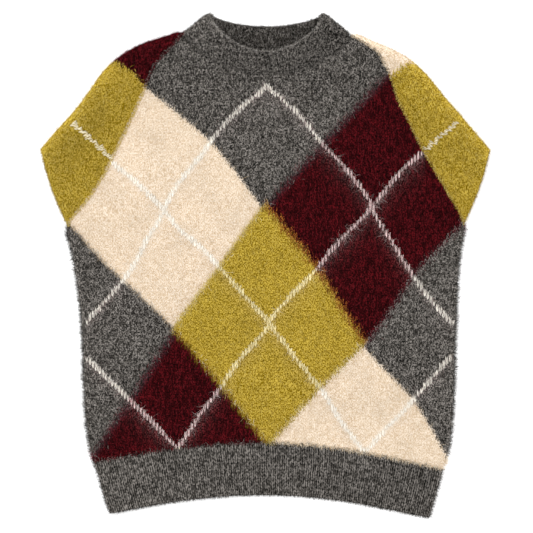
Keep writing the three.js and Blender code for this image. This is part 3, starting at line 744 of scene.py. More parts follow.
# cap sleeves
def sleeve_piece(name, node, side):
    cols_top, cols_fold, cols_low = 64, 9, 16
    rows = 74
    rr = np.linspace(0, LAST - UNDERARM, rows)
    B, F = rows_at(BODY, UNDERARM + rr), rows_at(FOLD, rr)
    cx = (0, 1) if side < 0 else (2, 3)
    seam, outer = B[:, cx], F[:, cx]
    direction = outer - seam
    width = np.linalg.norm(direction, axis=1)
    direction = direction / width[:, None]
    out = np.stack([-direction[:, 1], direction[:, 0]], 1) * (1 if side < 0 else -1)
    nxt = rows_at(BODY, np.clip(UNDERARM + rr + 0.25, 0, LAST))[:, cx] - rows_at(BODY, np.clip(UNDERARM + rr - 0.25, UNDERARM, LAST))[:, cx]
    nxt /= np.linalg.norm(nxt, axis=1)[:, None]
    start = seam - 0.35 * np.stack([side * nxt[:, 1], -side * nxt[:, 0]], 1)
    seam_top = top_height(UNDERARM + rr, np.full(rows, 0.0 if side < 0 else 1.0), seam[:, 0], seam[:, 1])
    fold_top = LOW_MID + mix(4.2, FOLD_LIFT, np.minimum(1, width / 60))
    radius = (fold_top - LOW_MID) / 2
    centre = outer - direction * (radius + WALL / 2)[:, None]
    bow = CUFF_BOW * (1 - rr / rr[-1])
    grid, kx = [], []
    for c in range(cols_top):
        t = c / cols_top
        p = seam * 0 + mix(start, centre, t) + out * (bow * math.sin(math.pi * t))[:, None]
        z = mix(seam_top, fold_top, smooth(t)) + soft_folds(p[:, 0], p[:, 1]) * (1 - t) * B[:, 5] * (c > 0) + 0.15 * max(0, 1 - t * 14)
        grid.append(np.column_stack([p, z]))
        kx.append((1 - t) * width / WALE)
    for c in range(cols_fold):
        a = math.pi / 2 - math.pi * c / (cols_fold - 1)
        p = centre + direction * (radius * math.cos(a))[:, None]
        grid.append(np.column_stack([p, LOW_MID + radius + radius * math.sin(a)]))
        kx.append(np.full(rows, -c / (cols_fold - 1) * 2.0))
    for c in range(cols_low - 1, -1, -1):
        t = c / cols_low
        p = mix(start, centre, t) + out * (bow * math.sin(math.pi * t))[:, None]
        grid.append(np.column_stack([p, np.full(rows, LOW_MID)]))
        kx.append(-2 - (1 - t) * width / WALE)
    grid, kx = np.stack(grid, 1), np.stack(kx, 1)
    along = np.r_[0, np.cumsum(np.linalg.norm(np.diff(outer, axis=0), axis=1))]
    ky = np.repeat(along[:, None] / COURSE, grid.shape[1], 1)
    if side < 0:
        grid, kx, ky = grid[:, ::-1], kx[:, ::-1], ky[:, ::-1]
    top = grid[..., 2] > LOW_MID + 1.2
    wave = np.where(top, relief(kx, ky) - 0.2, 0)
    verts, faces, _ = sheet_wall(grid, WALL, wobble=wave, rounding=0.35)
    split = side_of(verts[:, 0], verts[:, 1], SLEEVE_SPLIT[side])
    # painted light and shade: a painted highlight along the outer fold and the cuff, where the fuzz catches light; the
    # -x sleeve darker overall, with a painted shade band some 31 mm in from the fold standing in for a soft fold, and
    # lighter toward its seam; a faint painted shade band on the +x sleeve
    inward, below = np.abs(kx) * WALE, ky * COURSE
    shade = (0.87 if side < 0 else 0.97) + 0.32 * np.exp(-inward / 7.5) + 0.10 * np.exp(-below / 5)
    if side < 0:
        shade -= 0.20 * np.exp(-((inward - 31) / 17)**2) * smooth((below - 8) / 40) * smooth((125 - below) / 30)
        shade += 0.06 * smooth((inward - 50) / 30)
    else:
        shade -= 0.05 * np.exp(-((inward - 40) / 20)**2)
    from_seam = np.repeat(width[:, None], grid.shape[1], 1) - inward
    # painted highlight along the seam, lifting the shade of the seam's groove
    shade = shade + 0.45 * np.exp(-(from_seam / 1.5)**2) * (kx > 0)
    att = {"kx": np.tile(kx.ravel(), 2), "ky": np.tile(ky.ravel(), 2), "d1": -split if side < 0 else split, "shade": np.tile(shade.ravel(), 2)}
    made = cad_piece(make(name, verts, faces, att, materials=[sleeve_mat[side]]), "sleeve_knit", node)

    def at_stitch(i, j):
        """Places of stitches on the sleeve's upper side, from their wale and course numbers."""
        r_ = np.interp(j * COURSE, along, rr)
        put = lambda a: np.stack([np.interp(r_, rr, a[:, k]) for k in range(a.shape[1])], 1)
        t_ = 1 - i * WALE / np.interp(r_, rr, width)
        p_ = mix(put(start), put(centre), t_[:, None]) + put(out) * (np.interp(r_, rr, bow) * np.sin(np.pi * np.clip(t_, 0, 1)))[:, None]
        z_ = mix(np.interp(r_, rr, seam_top), np.interp(r_, rr, fold_top), smooth(t_)) + WALL / 2
        across = put(direction) * side
        return p_, z_, across / np.linalg.norm(across, axis=1)[:, None], t_

    return made, grid, at_stitch


sleeve_right, grid_right, stitch_right = sleeve_piece("sleeve_cloth_right", "sleeve_right", -1)
sleeve_left, grid_left, stitch_left = sleeve_piece("sleeve_cloth_left", "sleeve_left", 1)


# neck band
def collar_piece():
    per, rows, ends = 176, 15, 7
    rr = np.linspace(0, len(COLLAR) - 1, rows)
    S = rows_at(COLLAR, rr)
    low = COLLAR_WALL / 2
    grid, round_rib = [], []
    for s in S:
        s1 = np.repeat(s[None], per, 0)
        u = np.linspace(1 / 24, 23 / 24, per)
        rise = smooth((np.minimum(u, 1 - u) * 24 - 1) / 3)
        fx, fy = bowed(s1, u, s[4], NECK_ROUND)
        bx, by = bowed(s1, u, s[5], NECK_ROUND)
        f = np.column_stack([fx, fy + 0.1, low + mix(2 * COLLAR_FOLD, s[6], rise)])
        b = np.column_stack([bx, by + 0.1, np.full(per, low)])
        def fold(side):
            p0, p1 = (f[-1], b[-1]) if side > 0 else (f[0], b[0])
            apex = np.array([(s[2] if side > 0 else s[0]) - side * COLLAR_WALL / 2, s[3] if side > 0 else s[1]])
            bulge = apex - (p0[:2] + p1[:2]) / 2
            t = np.linspace(0, 1, ends + 2)[1:-1]
            q = p0[None, :2] + (p1 - p0)[None, :2] * t[:, None] + bulge[None] * np.sin(np.pi * t)[:, None]
            q = np.column_stack([q, low + COLLAR_FOLD * (1 + np.cos(np.pi * t))])
            return q if side > 0 else q[::-1]
        line = np.concatenate([f, fold(1), b[::-1], fold(-1)])
        grid.append(line)
    grid = np.array(grid)
    n = grid.shape[1]
    base = grid[len(grid) // 2]
    d = np.r_[0, np.cumsum(np.linalg.norm(np.diff(np.concatenate([base, base[:1]]), axis=0), axis=1))]
    ribs = round(d[-1] / 4.6)
    kx = np.repeat((d[:-1] / d[-1] * ribs)[None], rows, 0)
    ky = np.repeat(rr[:, None] * 1.6, n, 1)
    wave = 0.22 * np.cos(2 * np.pi * kx) + 0.12 * ripple(grid[..., 0], grid[..., 1], 16, 4)
    verts, faces, _ = sheet_wall(grid, COLLAR_WALL, ring=True, wobble=wave)
    # painted light and shade: a painted highlight along the top fold and at both outer ends, where the fuzz catches
    # light, lighter toward the left end, a little darker low down, and a dark mark down the front centre; the inside,
    # which faces away from the light, is painted shade, darkest toward its sides and low down
    level = np.repeat((rr / rr[-1])[:, None], n, 1)
    is_front = np.arange(n)[None] < per + ends / 2
    xx = grid[..., 0]
    near_left = near_line(grid[..., 0].ravel(), grid[..., 1].ravel(), COLLAR[:, 0:2]).reshape(xx.shape)
    near_right = near_line(grid[..., 0].ravel(), grid[..., 1].ravel(), COLLAR[:, 2:4]).reshape(xx.shape)
    outer = 0.84 + 0.24 * smooth((-45 - xx) / 45) + 0.6 * np.exp(-near_left / 9) + 0.35 * np.exp(-near_right / 7) + 0.18 * smooth((level - 0.84) / 0.14) - 0.10 * smooth((0.5 - level) / 0.5)
    outer -= 0.22 * np.exp(-((xx - 2.4) / 2.2)**2) * is_front * smooth((0.85 - level) / 0.2)
    outer = outer * np.ones_like(level)
    inner = 0.70 - 0.24 * smooth((np.abs(xx) - 45) / 30) - 0.14 * smooth((0.75 - level) / 0.6) + 0.18 * smooth((level - 0.85) / 0.12)
    inner = inner * np.ones_like(level)
    att = {"kx": np.tile(kx.ravel(), 2), "ky": np.tile(ky.ravel(), 2), "shade": np.concatenate([outer.ravel(), inner.ravel()])}
    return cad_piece(make("collar_cloth", verts, faces, att, materials=[collar_knit]), "rib_knit", "collar")


collar = collar_piece()

# ---------------------------------------------------------------- overlay stitches
def capsule_legs(p0, p1, radius):
    """Closed spindles from p0 to p1, as one mesh."""
    n, sides = len(p0), 5
    axis = p1 - p0
    length = np.linalg.norm(axis, axis=1)[:, None]
    axis = axis / length
    up = np.repeat(np.array([[0, 0, 1.0]]), n, 0)
    a = np.cross(axis, up)
    a /= np.linalg.norm(a, axis=1)[:, None]
    b = np.cross(a, axis)
    spots, scale = [0.05, 0.35, 0.7, 0.95], [0.55, 1.0, 0.95, 0.5]
    rings = []
    for t, k in zip(spots, scale):
        for j in range(sides):
            w = 2 * math.pi * j / sides
            rings.append(p0 + axis * length * t + (a * math.cos(w) + b * math.sin(w) * 0.75) * (radius * k)[:, None])
    rings.append(p0)
    rings.append(p1)
    verts = np.stack(rings, 1)
    per = verts.shape[1]
    quads, tris = [], []
    for i in range(len(spots) - 1):
        for j in range(sides):
            q = (i * sides + j, i * sides + (j + 1) % sides, (i + 1) * sides + (j + 1) % sides, (i + 1) * sides + j)
            quads.append(q)
    top = (len(spots) - 1) * sides
    for j in range(sides):
        tris.append((per - 2, (j + 1) % sides, j))
        tris.append((per - 1, top + j, top + (j + 1) % sides))
    base = (np.arange(n) * per)[:, None, None]
    return verts.reshape(-1, 3), [(base + np.array(quads)[None]).reshape(-1, 4), (base + np.array(tris)[None]).reshape(-1, 3)]


def stitched_cells(run, reach=2.3):
    """The stitches, as wale and course numbers, that a run of the line covers."""
    d = densify(run, 0.8)
    base = np.stack([np.round(d[:, 0] / WALE), np.round(d[:, 1] / COURSE)], 1)
    near = np.unique(np.concatenate([base + (i, j) for i in (-1, 0, 1) for j in (-1, 0, 1)]), axis=0)
    return near[near_line(near[:, 0] * WALE, near[:, 1] * COURSE, run) < reach]


r = RNG


def legs_for(cx, cy, cz, ux, narrow=0.0):
    """The two legs of each stitch; ux is the way across the wale, narrow how much closer the legs lie."""
    narrow = np.zeros((len(cx), 1)) + np.reshape(narrow, (-1, 1))
    n = len(cx)
    uy = np.stack([-ux[:, 1], ux[:, 0]], 1)
    p0s, p1s, rad = [], [], []
    size = r.uniform(0.86, 1.12, (n, 1))
    for s in (-1, 1):
        j = r.normal(0, 0.27, (n, 4))
        low = np.stack([cx, cy], 1) + ux * (s * (0.42 - 0.1 * narrow) + j[:, :1]) - uy * (COURSE * 0.72 * size + 2 * j[:, 1:2])
        top = np.stack([cx, cy], 1) + ux * (s * (1.3 - 0.25 * narrow) + j[:, 2:3]) + uy * (COURSE * 0.80 * size + 2 * j[:, 3:4])
        p0s.append(np.column_stack([low, cz + 0.45 + r.normal(0, 0.1, n)]))
        p1s.append(np.column_stack([top, cz + 0.95 + r.normal(0, 0.12, n)]))
        rad.append(r.uniform(0.58, 0.86, n))
    return np.concatenate(p0s), np.concatenate(p1s), np.concatenate(rad)


cells = np.unique(np.concatenate([stitched_cells(run) for run in OVERLAY]), axis=0)
cx, cy = cells[:, 0] * WALE, cells[:, 1] * COURSE
keep = inside(cx, cy, front_loop) & (far_from(cx, cy, front_loop) > 1.5)
cx, cy = cx[keep], cy[keep]
on_maroon, _, on_cream = ground_shares(cx, cy)
p0, p1, rad = legs_for(cx, cy - 1.3, top_of(cx, cy) + WALL / 2 + 0.3 * on_maroon, np.repeat(np.array([[1.0, 0.0]]), len(cx), 0), on_maroon)
rad = rad * np.tile(1 - 0.30 * on_maroon + 0.42 * on_cream, 2)
# the sleeves' own runs, whose wales slant with the sleeve
for side, at_stitch in ((-1, stitch_right), (1, stitch_left)):
    i, j = (v.ravel().astype(float) for v in np.meshgrid(np.arange(0, 30), np.arange(0, 60)))
    p_, z_, ux, t_ = at_stitch(i, j)
    ok = (t_ > 0.0) & (i > 1.5) & (side * p_[:, 0] > (214 if side < 0 else 0)) & (near_line(p_[:, 0], p_[:, 1], SLEEVE_LINE[side]) < 2.5)
    if side < 0:
        # the run's last stitches, up to the seam, slant as the one before them
        last = np.flatnonzero(ok)[np.argmax(p_[ok, 0])]
        ends = np.array([[-212.4, 148.4], [-210.3, 146.4], [-208.3, 144.4]])
        p_, z_ = np.concatenate([p_[:, :2], ends]), np.concatenate([z_, np.full(3, z_[last])])
        ux, ok = np.concatenate([ux, np.repeat(ux[last][None], 3, 0)]), np.concatenate([ok, np.ones(3, bool)])
    a, b, c = legs_for(p_[ok, 0], p_[ok, 1], z_[ok], ux[ok])
    p0, p1, rad = np.concatenate([p0, a]), np.concatenate([p1, b]), np.concatenate([rad, c])


def overlay_colour(t, n, side):
    """Ivory yarn, tinted a little by the wool around it."""
    ivory, pink, straw, cream = [linear(h) for h in (("#e6ddd0", "#dcb0b0", "#f2db98", "#fdf1de"), ("#fffaf0", "#ffe9e6", "#fff4c0", "#fffaf0"))[side]]
    tinted = t.mix(t.attr("straw"), t.mix(t.attr("pink"), ivory, pink), straw)
    return t.mix(t.attr("creamy"), tinted, cream)


overlay_mat = knit_material("overlay_yarn_ivory", overlay_colour, contrast=0.6)
verts, faces = capsule_legs(p0, p1, rad)
pink, straw, creamy = ground_shares(verts[:, 0], verts[:, 1])
off_body = ~inside(verts[:, 0], verts[:, 1], front_loop)
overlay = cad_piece(make("overlay_stitches", verts, faces, {
    "kx": verts[:, 0] / WALE, "ky": verts[:, 1] / COURSE, "shade": np.maximum(np.repeat(r.uniform(0.64, 1.16, len(p0)), len(verts) // len(p0)) + pink * np.repeat(r.uniform(-0.16, 0.22, len(p0)), len(verts) // len(p0)), np.maximum(0.97 * creamy, 0.95 * straw)),
    "pink": np.where(off_body, 0, pink), "straw": np.where(off_body, 0.5, straw), "creamy": np.where(off_body, 0, creamy)}, materials=[overlay_mat]), "argyle_knit")

# ---------------------------------------------------------------- loose fuzz
SHADES = {
    "grey": ["#0f0e0c", "#4c4945", "#a39d96"],
    "dim": ["#0d0c0b", "#3e3b38", "#8f8a84"],
    "ridge": ["#2b2926", "#5f5b56", "#9a948d"],
    "deep": ["#0b0a09", "#181614", "#262320"],
    "rose": ["#5c0f20", "#8c2f42", "#b86a78"],
    "pale": ["#8d8780", "#aca69f", "#cdc8c2"],
    "cream": ["#dabe98", "#f0dabb", "#fdf0da"],
    "maroon": ["#150002", "#3f070d", "#752129"],
    "mustard": ["#6c5600", "#ab8f2a", "#dcc362"],
    "straw": ["#d3bf72", "#eadda8", "#f9f2d8"],
    "inside": ["#12100e", "#34312d", "#5d5852"],
    "rust": ["#6a2f12", "#a25a26", "#bb8234"],
    "honey": ["#b4952f", "#d2b54c", "#efd982"],
    "ivory": ["#e9ddca", "#fbf3e4", "#fffaf0"],
    "haze": ["#8f7a77", "#c4aca8", "#e6d3cf"],
}
TONE_NAMES = ["grey", "cream", "maroon", "mustard"]
WEIGHTS = {"grey": (0.40, 0.31, 0.29), "dim": (0.42, 0.30, 0.28), "cream": (0.26, 0.42, 0.32), "maroon": (0.36, 0.40, 0.24), "mustard": (0.33, 0.36, 0.31)}
STRANDS = {k: [strand_material(f"strand_{k}_{i}", h) for i, h in enumerate(v)] for k, v in SHADES.items()}


def surface_points(ob, count, accept):
    """Points spread evenly over the faces that accept(centre, normal) takes: place, normal."""
    me = ob.data
    me.calc_loop_triangles()
    tri = np.empty(len(me.loop_triangles) * 3, np.int32)
    me.loop_triangles.foreach_get("vertices", tri)
    tri = tri.reshape(-1, 3)
    co = np.empty(len(me.vertices) * 3, np.float32)
    me.vertices.foreach_get("co", co)
    co = co.reshape(-1, 3).astype(float) / MM
    a, b, c = (co[tri[:, k]] for k in range(3))
    n = np.cross(b - a, c - a)
    size = np.linalg.norm(n, axis=1)
    n = n / np.maximum(size, 1e-12)[:, None]
    weight = size * accept((a + b + c) / 3, n)
    pick = RNG.choice(len(tri), count, p=weight / weight.sum())
    u, v = RNG.random((2, count, 1))
    over = u + v > 1
    u, v = np.where(over, 1 - u, u), np.where(over, 1 - v, v)
    return a[pick] + u * (b[pick] - a[pick]) + v * (c[pick] - a[pick]), n[pick]


def strands(roots, normals, heading, length, height, width, segments=3, curl=0.35, seed=1):
    """Tapered ribbons that leave each root along heading, rise to height over the surface, and wander by curl radians a segment."""
    g = np.random.default_rng(seed)
    n = len(roots)
    side = np.cross(heading, normals)
    side /= np.maximum(np.linalg.norm(side, axis=1), 1e-9)[:, None]
    angle = np.zeros(n)
    turn = g.normal(0, curl, n)
    p = roots - normals * 0.15
    spine = [p]
    for k in range(segments):
        angle = angle + turn + g.normal(0, curl * 0.7, n)
        d = heading * np.cos(angle)[:, None] + side * np.sin(angle)[:, None]
        t1, t0 = (k + 1) / segments, k / segments
        rise = height * (np.sin(np.pi * 0.62 * t1) - np.sin(np.pi * 0.62 * t0))
        p = p + d * (length / segments)[:, None] + normals * rise[:, None]
        spine.append(p)
    spine = np.stack(spine, 1)
    spine[..., 2] = np.maximum(spine[..., 2], 0.25)
    roll = g.normal(0, 0.4, n)
    across = side * np.cos(roll)[:, None] + normals * np.sin(roll)[:, None]
    taper = np.interp(np.linspace(0, 1, segments + 1), [0, 0.35, 1], [0.8, 1.0, 0.25])
    verts = []
    for k in range(segments):
        w = (width * taper[k] / 2)[:, None]
        verts += [spine[:, k] - across * w, spine[:, k] + across * w]
    verts.append(spine[:, segments])
    verts = np.stack(verts, 1)
    per = verts.shape[1]
    base = (np.arange(n) * per)[:, None]
    quads = [base + np.array([[2 * k, 2 * k + 1, 2 * k + 3, 2 * k + 2]]) for k in range(segments - 1)]
    tri = base + np.array([[2 * segments - 2, 2 * segments - 1, 2 * segments]])
    return verts.reshape(-1, 3), np.stack(quads, 1).reshape(-1, 4), tri


def tangent(normals, angle):
    """A unit direction in each surface, at angle from +Y."""
    want = np.stack([np.sin(angle), np.cos(angle), np.zeros_like(angle)], 1)
    want -= (want * normals).sum(1)[:, None] * normals
    size = np.linalg.norm(want, axis=1)
    flat = size < 0.15
    want[flat] = np.cross(normals[flat], np.array([0.3, 0.2, 1.0]))
    return want / np.linalg.norm(want, axis=1)[:, None]


FUZZ = {}                       # piece name: its strands


def grow(piece, tones, roots, normals, heading, length, height, width, seed, segments=3, curl=0.45):
    """Adds strands to a piece, coloured by their tones' names."""
    for k, tone in enumerate(sorted(set(tones))):
        m = tones == tone
        n = int(m.sum())
        name = piece + "_" + tone if piece == "fuzz_front" else piece
        made = strands(roots[m], normals[m], heading[m], length[m], height[m], width[m], segments, curl, seed * 10 + k)
        g = np.random.default_rng(seed * 10 + k + 5)
        w = np.array(WEIGHTS.get(tone, (0.3, 0.4, 0.3)))
        FUZZ.setdefault(name, []).append((*made, tone, g.choice(3, n, p=w / w.sum()), segments))


def fuzz_piece(name, slot):
    V, Q, T, mq, mt, base, slots = [], [], [], [], [], 0, []
    for verts, quads, tri, tone, shade, segments in FUZZ[name]:
        if tone not in slots:
            slots.append(tone)
        shade = shade + 3 * slots.index(tone)
        V.append(verts)
        Q.append(quads + base)
        T.append(tri + base)
        mq.append(np.repeat(shade, segments - 1))
        mt.append(shade)
        base += len(verts)
    ob = make(name, np.concatenate(V), [np.concatenate(Q), np.concatenate(T)],
              materials=[m for tone in slots for m in STRANDS[tone]], material_index=np.concatenate(mq + mt))
    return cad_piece(ob, slot)


# how each wool's hairs lie: how far they stray from upright
STRAY = {"ridge": 0.3, "deep": 0.6, "rose": 0.8, "grey": 1.0, "dim": 1.0, "honey": 0.7, "cream": 0.55, "maroon": 0.5, "mustard": 0.8, "rust": 0.4, "pale": 1.0, "straw": 0.8, "inside": 0.9, "ivory": 0.9, "haze": 1.1}


def coat(piece, points, normals, tones, seed, length=(4, 10), height=(0.5, 2.0), width=(0.24, 0.50), up=0.62, stray=None, lean=0.0):
    """A coat of fuzz on points: hairs that mostly lie up or down the garment."""
    g = np.random.default_rng(seed)
    n = len(points)
    loose = np.array([STRAY[t] for t in tones]) if stray is None else np.full(n, stray)
    angle = g.normal(0, 1, n) * loose + np.where(g.random(n) < up, 0, np.pi) + lean
    L = g.uniform(*length, n) * np.where(g.random(n) < 0.1, 1.6, 1)
    grow(piece, tones, points, normals, tangent(normals, angle), L, g.uniform(*height, n), g.uniform(*width, n), seed)


def body_tones(p, sharp=1.6, mingled=5.0):
    """The name of the wool at points, with roots strayed a little over the edges."""
    d = argyle_sides(p[:, 0], p[:, 1])
    g = np.random.default_rng(len(p))
    near = g.normal(0, sharp, len(p))
    mid = (d["d3"] > 0) & (d["d4"] < 0)
    i = (d["d1"] + near > np.where(mid, -1.5, REACH["side1"])).astype(int) + (d["d2"] + near > np.where(mid, REACH["mid2"], REACH["side2"]))
    wide = np.where(i == 1, near, g.normal(0, mingled, len(p)))
    j = ((d["d3"] + wide > np.where(i == 1, REACH["inner3"], REACH["outer3"])).astype(int)
         + (d["d4"] + wide > np.where(i == 1, REACH["inner4"], REACH["outer4"])))
    return np.array(TONE_NAMES, object)[CHART[i, j]], d


def sleeve_tones(x, y, side, stray=2.5):
    s = side_of(x, y, SLEEVE_SPLIT[side]) * (-1 if side < 0 else 1)
    s = s + np.random.default_rng(len(x)).normal(0, stray, len(x))
    return np.where(s > 0, "mustard", "maroon" if side < 0 else "cream").astype(object)


# the front's coat
pts, nor = surface_points(front, 47000, lambda c, n: (n[:, 2] > -0.2) * (c[:, 2] > 3.4))
from_line = np.minimum.reduce([near_line(pts[:, 0], pts[:, 1], run) for run in OVERLAY])
keep = (from_line > 4.5) | (np.random.default_rng(9).random(len(pts)) < 0.25)
pts, nor = pts[keep], nor[keep]
tone, d = body_tones(pts)
tone[(tone == "grey") & (np.random.default_rng(2).random(len(pts)) < smooth((pts[:, 1] - 215) / 40))] = "dim"
coat("fuzz_front", pts, nor, tone, 11, length=(2.8, 7), width=(0.25, 0.52))
# more along the colour edges, where the wools mingle
pts, nor = surface_points(front, 60000, lambda c, n: (n[:, 2] > 0.5) * (c[:, 2] > 4.5))
tone, d = body_tones(pts, 1.2, 6.0)
near = np.minimum.reduce([np.abs(v) for v in d.values()]) < 5
tone, pts, nor = tone[near], pts[near], nor[near]
d = {k: v[near] for k, v in d.items()}
middle = (d["d3"] > 0) & (d["d4"] < 0)
g = np.random.default_rng(5)
tone[(tone == "mustard") & middle & (d["d1"] < 7) & (g.random(len(tone)) < 0.8)] = "rust"
tone[(tone == "mustard") & (d["d1"] > 8)] = "honey"
tone[(tone == "honey") & (g.random(len(tone)) < 0.3)] = "straw"
coat("fuzz_front", pts, nor, tone, 12, length=(4, 10), stray=0.45, up=0.72)

# sleeves, ribs, neck band
for name, ob, side, count in (("fuzz_sleeve_right", sleeve_right, -1, 11500), ("fuzz_sleeve_left", sleeve_left, 1, 9800)):
    pts, nor = surface_points(ob, count, lambda c, n: (c[:, 2] > 1.6) * (n[:, 2] > -0.4) * 1.0)
    tone = sleeve_tones(pts[:, 0], pts[:, 1], side)
    fold_line = rows_at(FOLD, np.linspace(0, LAST - UNDERARM, 80))[:, (0, 1) if side < 0 else (2, 3)]
    from_fold = np.abs(side_of(pts[:, 0], pts[:, 1], fold_line[::8]))
    # painted highlight: mustard hairs near the outer fold take the paler honey tone
    tone[(tone == "mustard") & (np.random.default_rng(3).random(len(pts)) < 1.1 * np.exp(-from_fold / 12))] = "honey"
    keep = (near_line(pts[:, 0], pts[:, 1], SLEEVE_LINE[side]) > 4) | (np.random.default_rng(4).random(len(pts)) < 0.25)
    coat(name, pts[keep], nor[keep], tone[keep], 22 + side, length=(2.8, 7), lean=-side * 0.68, stray=0.8)
pts, nor = surface_points(rib_front, 6600, lambda c, n: (c[:, 2] > 3.4) * (n[:, 2] > -0.3))
# painted light and shade: light hairs on the ribs, dark ones in the hollows between them
span = np.stack([rows_at(RIB, np.interp(pts[:, 1], (-340, -265), (3, 0)))[:, k] for k in (0, 2)])
crest = np.cos(2 * np.pi * RIBS * (pts[:, 0] - span[0]) / (span[1] - span[0]))
tone = np.where(crest + np.random.default_rng(7).normal(0, 0.7, len(pts)) > 0, "ridge", "dim").astype(object)
coat("fuzz_rib", pts, nor, tone, 31, length=(2.6, 6), height=(0.4, 1.4), width=(0.26, 0.50), stray=0.28)
pts, nor = surface_points(collar, 7500, lambda c, n: (c[:, 2] > 1.0) * (n[:, 2] > -0.3) * 1.0)
top = COLLAR[-1]
w = np.clip((pts[:, 0] - (top[0] + top[2]) / 2) / ((top[2] - top[0]) / 2 - 2), -1, 1)
rim_y = (top[1] + top[3]) / 2 + top[4] * (1 - w * w)**NECK_ROUND
# painted shade: the hairs inside the neck band are dark
tone = np.where((pts[:, 2] < 6.2) & (pts[:, 1] > rim_y - 3) & (np.abs(pts[:, 0]) < 74), "inside", "dim").astype(object)
coat("fuzz_collar", pts, nor, tone, 32, length=(2.6, 6), height=(0.4, 1.5), width=(0.26, 0.54))


def cross_seam(line, pieces, tones, count, seed, length=(4, 9), reach=2.6, lift=0.0, left_share=0.5, width=(0.24, 0.46)):
    """Hairs that lie over a seam from both its sides. pieces and tones: for the left and the right of the line as it is walked."""
    g = np.random.default_rng(seed)
    at, tan = along_line(line, g.uniform(0, 1, count))
    left = np.stack([-tan[:, 1], tan[:, 0]], 1)
    sign = np.where(g.random(count) < left_share, 1.0, -1.0)
    xy = at + left * (sign * g.uniform(0.3, reach, count))[:, None]
    z = top_of(xy[:, 0], xy[:, 1]) + WALL / 2 + lift
    angle = g.normal(0, 0.8, count)
    out = -left * sign[:, None]
    head = np.column_stack([out * np.cos(angle)[:, None] + tan * np.sin(angle)[:, None], np.zeros(count)])
    normals = np.repeat(np.array([[0, 0, 1.0]]), count, 0)
    for k, (piece, tone_of) in enumerate(zip(pieces, tones)):
        m = sign == (1.0 if k == 0 else -1.0)
        n = int(m.sum())
        grow(piece, tone_of(xy[m, 0], xy[m, 1]), np.column_stack([xy[m], z[m]]), normals[m], head[m],
             g.uniform(*length, n), g.uniform(0.5, 1.5, n), g.uniform(*width, n), seed + k, curl=0.4)


def along_line(line, share):
    """Points and directions at shares of a line's length."""
    d = np.r_[0, np.cumsum(np.linalg.norm(np.diff(line, axis=0), axis=1))]
    at = share * d[-1]
    p = np.stack([np.interp(at, d, line[:, k]) for k in (0, 1)], 1)
    i = np.clip(np.searchsorted(d, at) - 1, 0, len(line) - 2)
    t = line[i + 1] - line[i]
    return p, t / np.maximum(np.linalg.norm(t, axis=1), 1e-9)[:, None]


body_tone_at = lambda x, y: body_tones(np.stack([x, y], 1))[0]
grey_only = lambda x, y: np.full(len(x), "grey", object)


def paint_lit_mustard(tone):
    """Mustard hairs that reach over another wool take the paler honey tone: a painted highlight, as if lit from all
    round.
    """
    tone[tone == "mustard"] = "honey"
    return tone


arm = rows_at(BODY, np.linspace(UNDERARM, LAST, 200))
cross_seam(arm[:, 0:2], ("fuzz_sleeve_right", "fuzz_front"), (lambda x, y: paint_lit_mustard(sleeve_tones(x, y, -1)), body_tone_at), 2300, 71, length=(2.6, 5.4), reach=1.8, lift=0.35, left_share=0.66, width=(0.34, 0.6))
cross_seam(arm[:, 2:4], ("fuzz_front", "fuzz_sleeve_left"), (body_tone_at, lambda x, y: paint_lit_mustard(sleeve_tones(x, y, 1))), 1900, 73, length=(2.4, 5.0), reach=1.8, lift=0.35, left_share=0.36, width=(0.3, 0.55))
u = np.linspace(0, 1, 300)
seam = np.stack(bowed(np.repeat(BODY[:1], 300, 0), u, BODY[0, 4], HEM_ROUND), 1)
cross_seam(seam, ("fuzz_front", "fuzz_rib"), (body_tone_at, grey_only), 2600, 75, length=(3, 8), left_share=0.72)
seam = np.stack(bowed(np.repeat(BODY[LAST:], 300, 0), np.linspace(0.004, 0.996, 300), BODY[LAST, 4], NECK_ROUND), 1)
cross_seam(seam, ("fuzz_collar", "fuzz_front"), (grey_only, grey_only), 2500, 77, length=(3, 7), lift=0.5)


def halo(piece, path, tones, count, length, seed, z, width=(0.24, 0.50)):
    """Hairs standing out of an edge. path runs counter-clockwise, tones gives the wool at a point."""
    g = np.random.default_rng(seed)
    p, t = along_line(path, g.uniform(0, 1, count))
    out = np.stack([t[:, 1], -t[:, 0]], 1)
    angle = g.normal(0, 0.7, count)
    head = np.column_stack([out * np.cos(angle)[:, None] + t * np.sin(angle)[:, None], g.normal(0.05, 0.15, count)])
    head /= np.linalg.norm(head, axis=1)[:, None]
    roots = np.column_stack([p - out * 0.8, z(g, count)])
    normals = np.repeat(np.array([[0, 0, 1.0]]), count, 0)
    L = g.uniform(*length, count) * np.where(g.random(count) < 0.1, 1.5, 1)
    tone = tones(p[:, 0], p[:, 1])
    # painted highlight: most maroon hairs standing out of an edge are a lighter rose
    tone[(tone == "maroon") & (g.random(count) < 0.8)] = "rose"
    grow(piece, tone, roots, normals, head, L, g.uniform(-0.6, 1.0, count), g.uniform(*width, count), seed, curl=0.5)


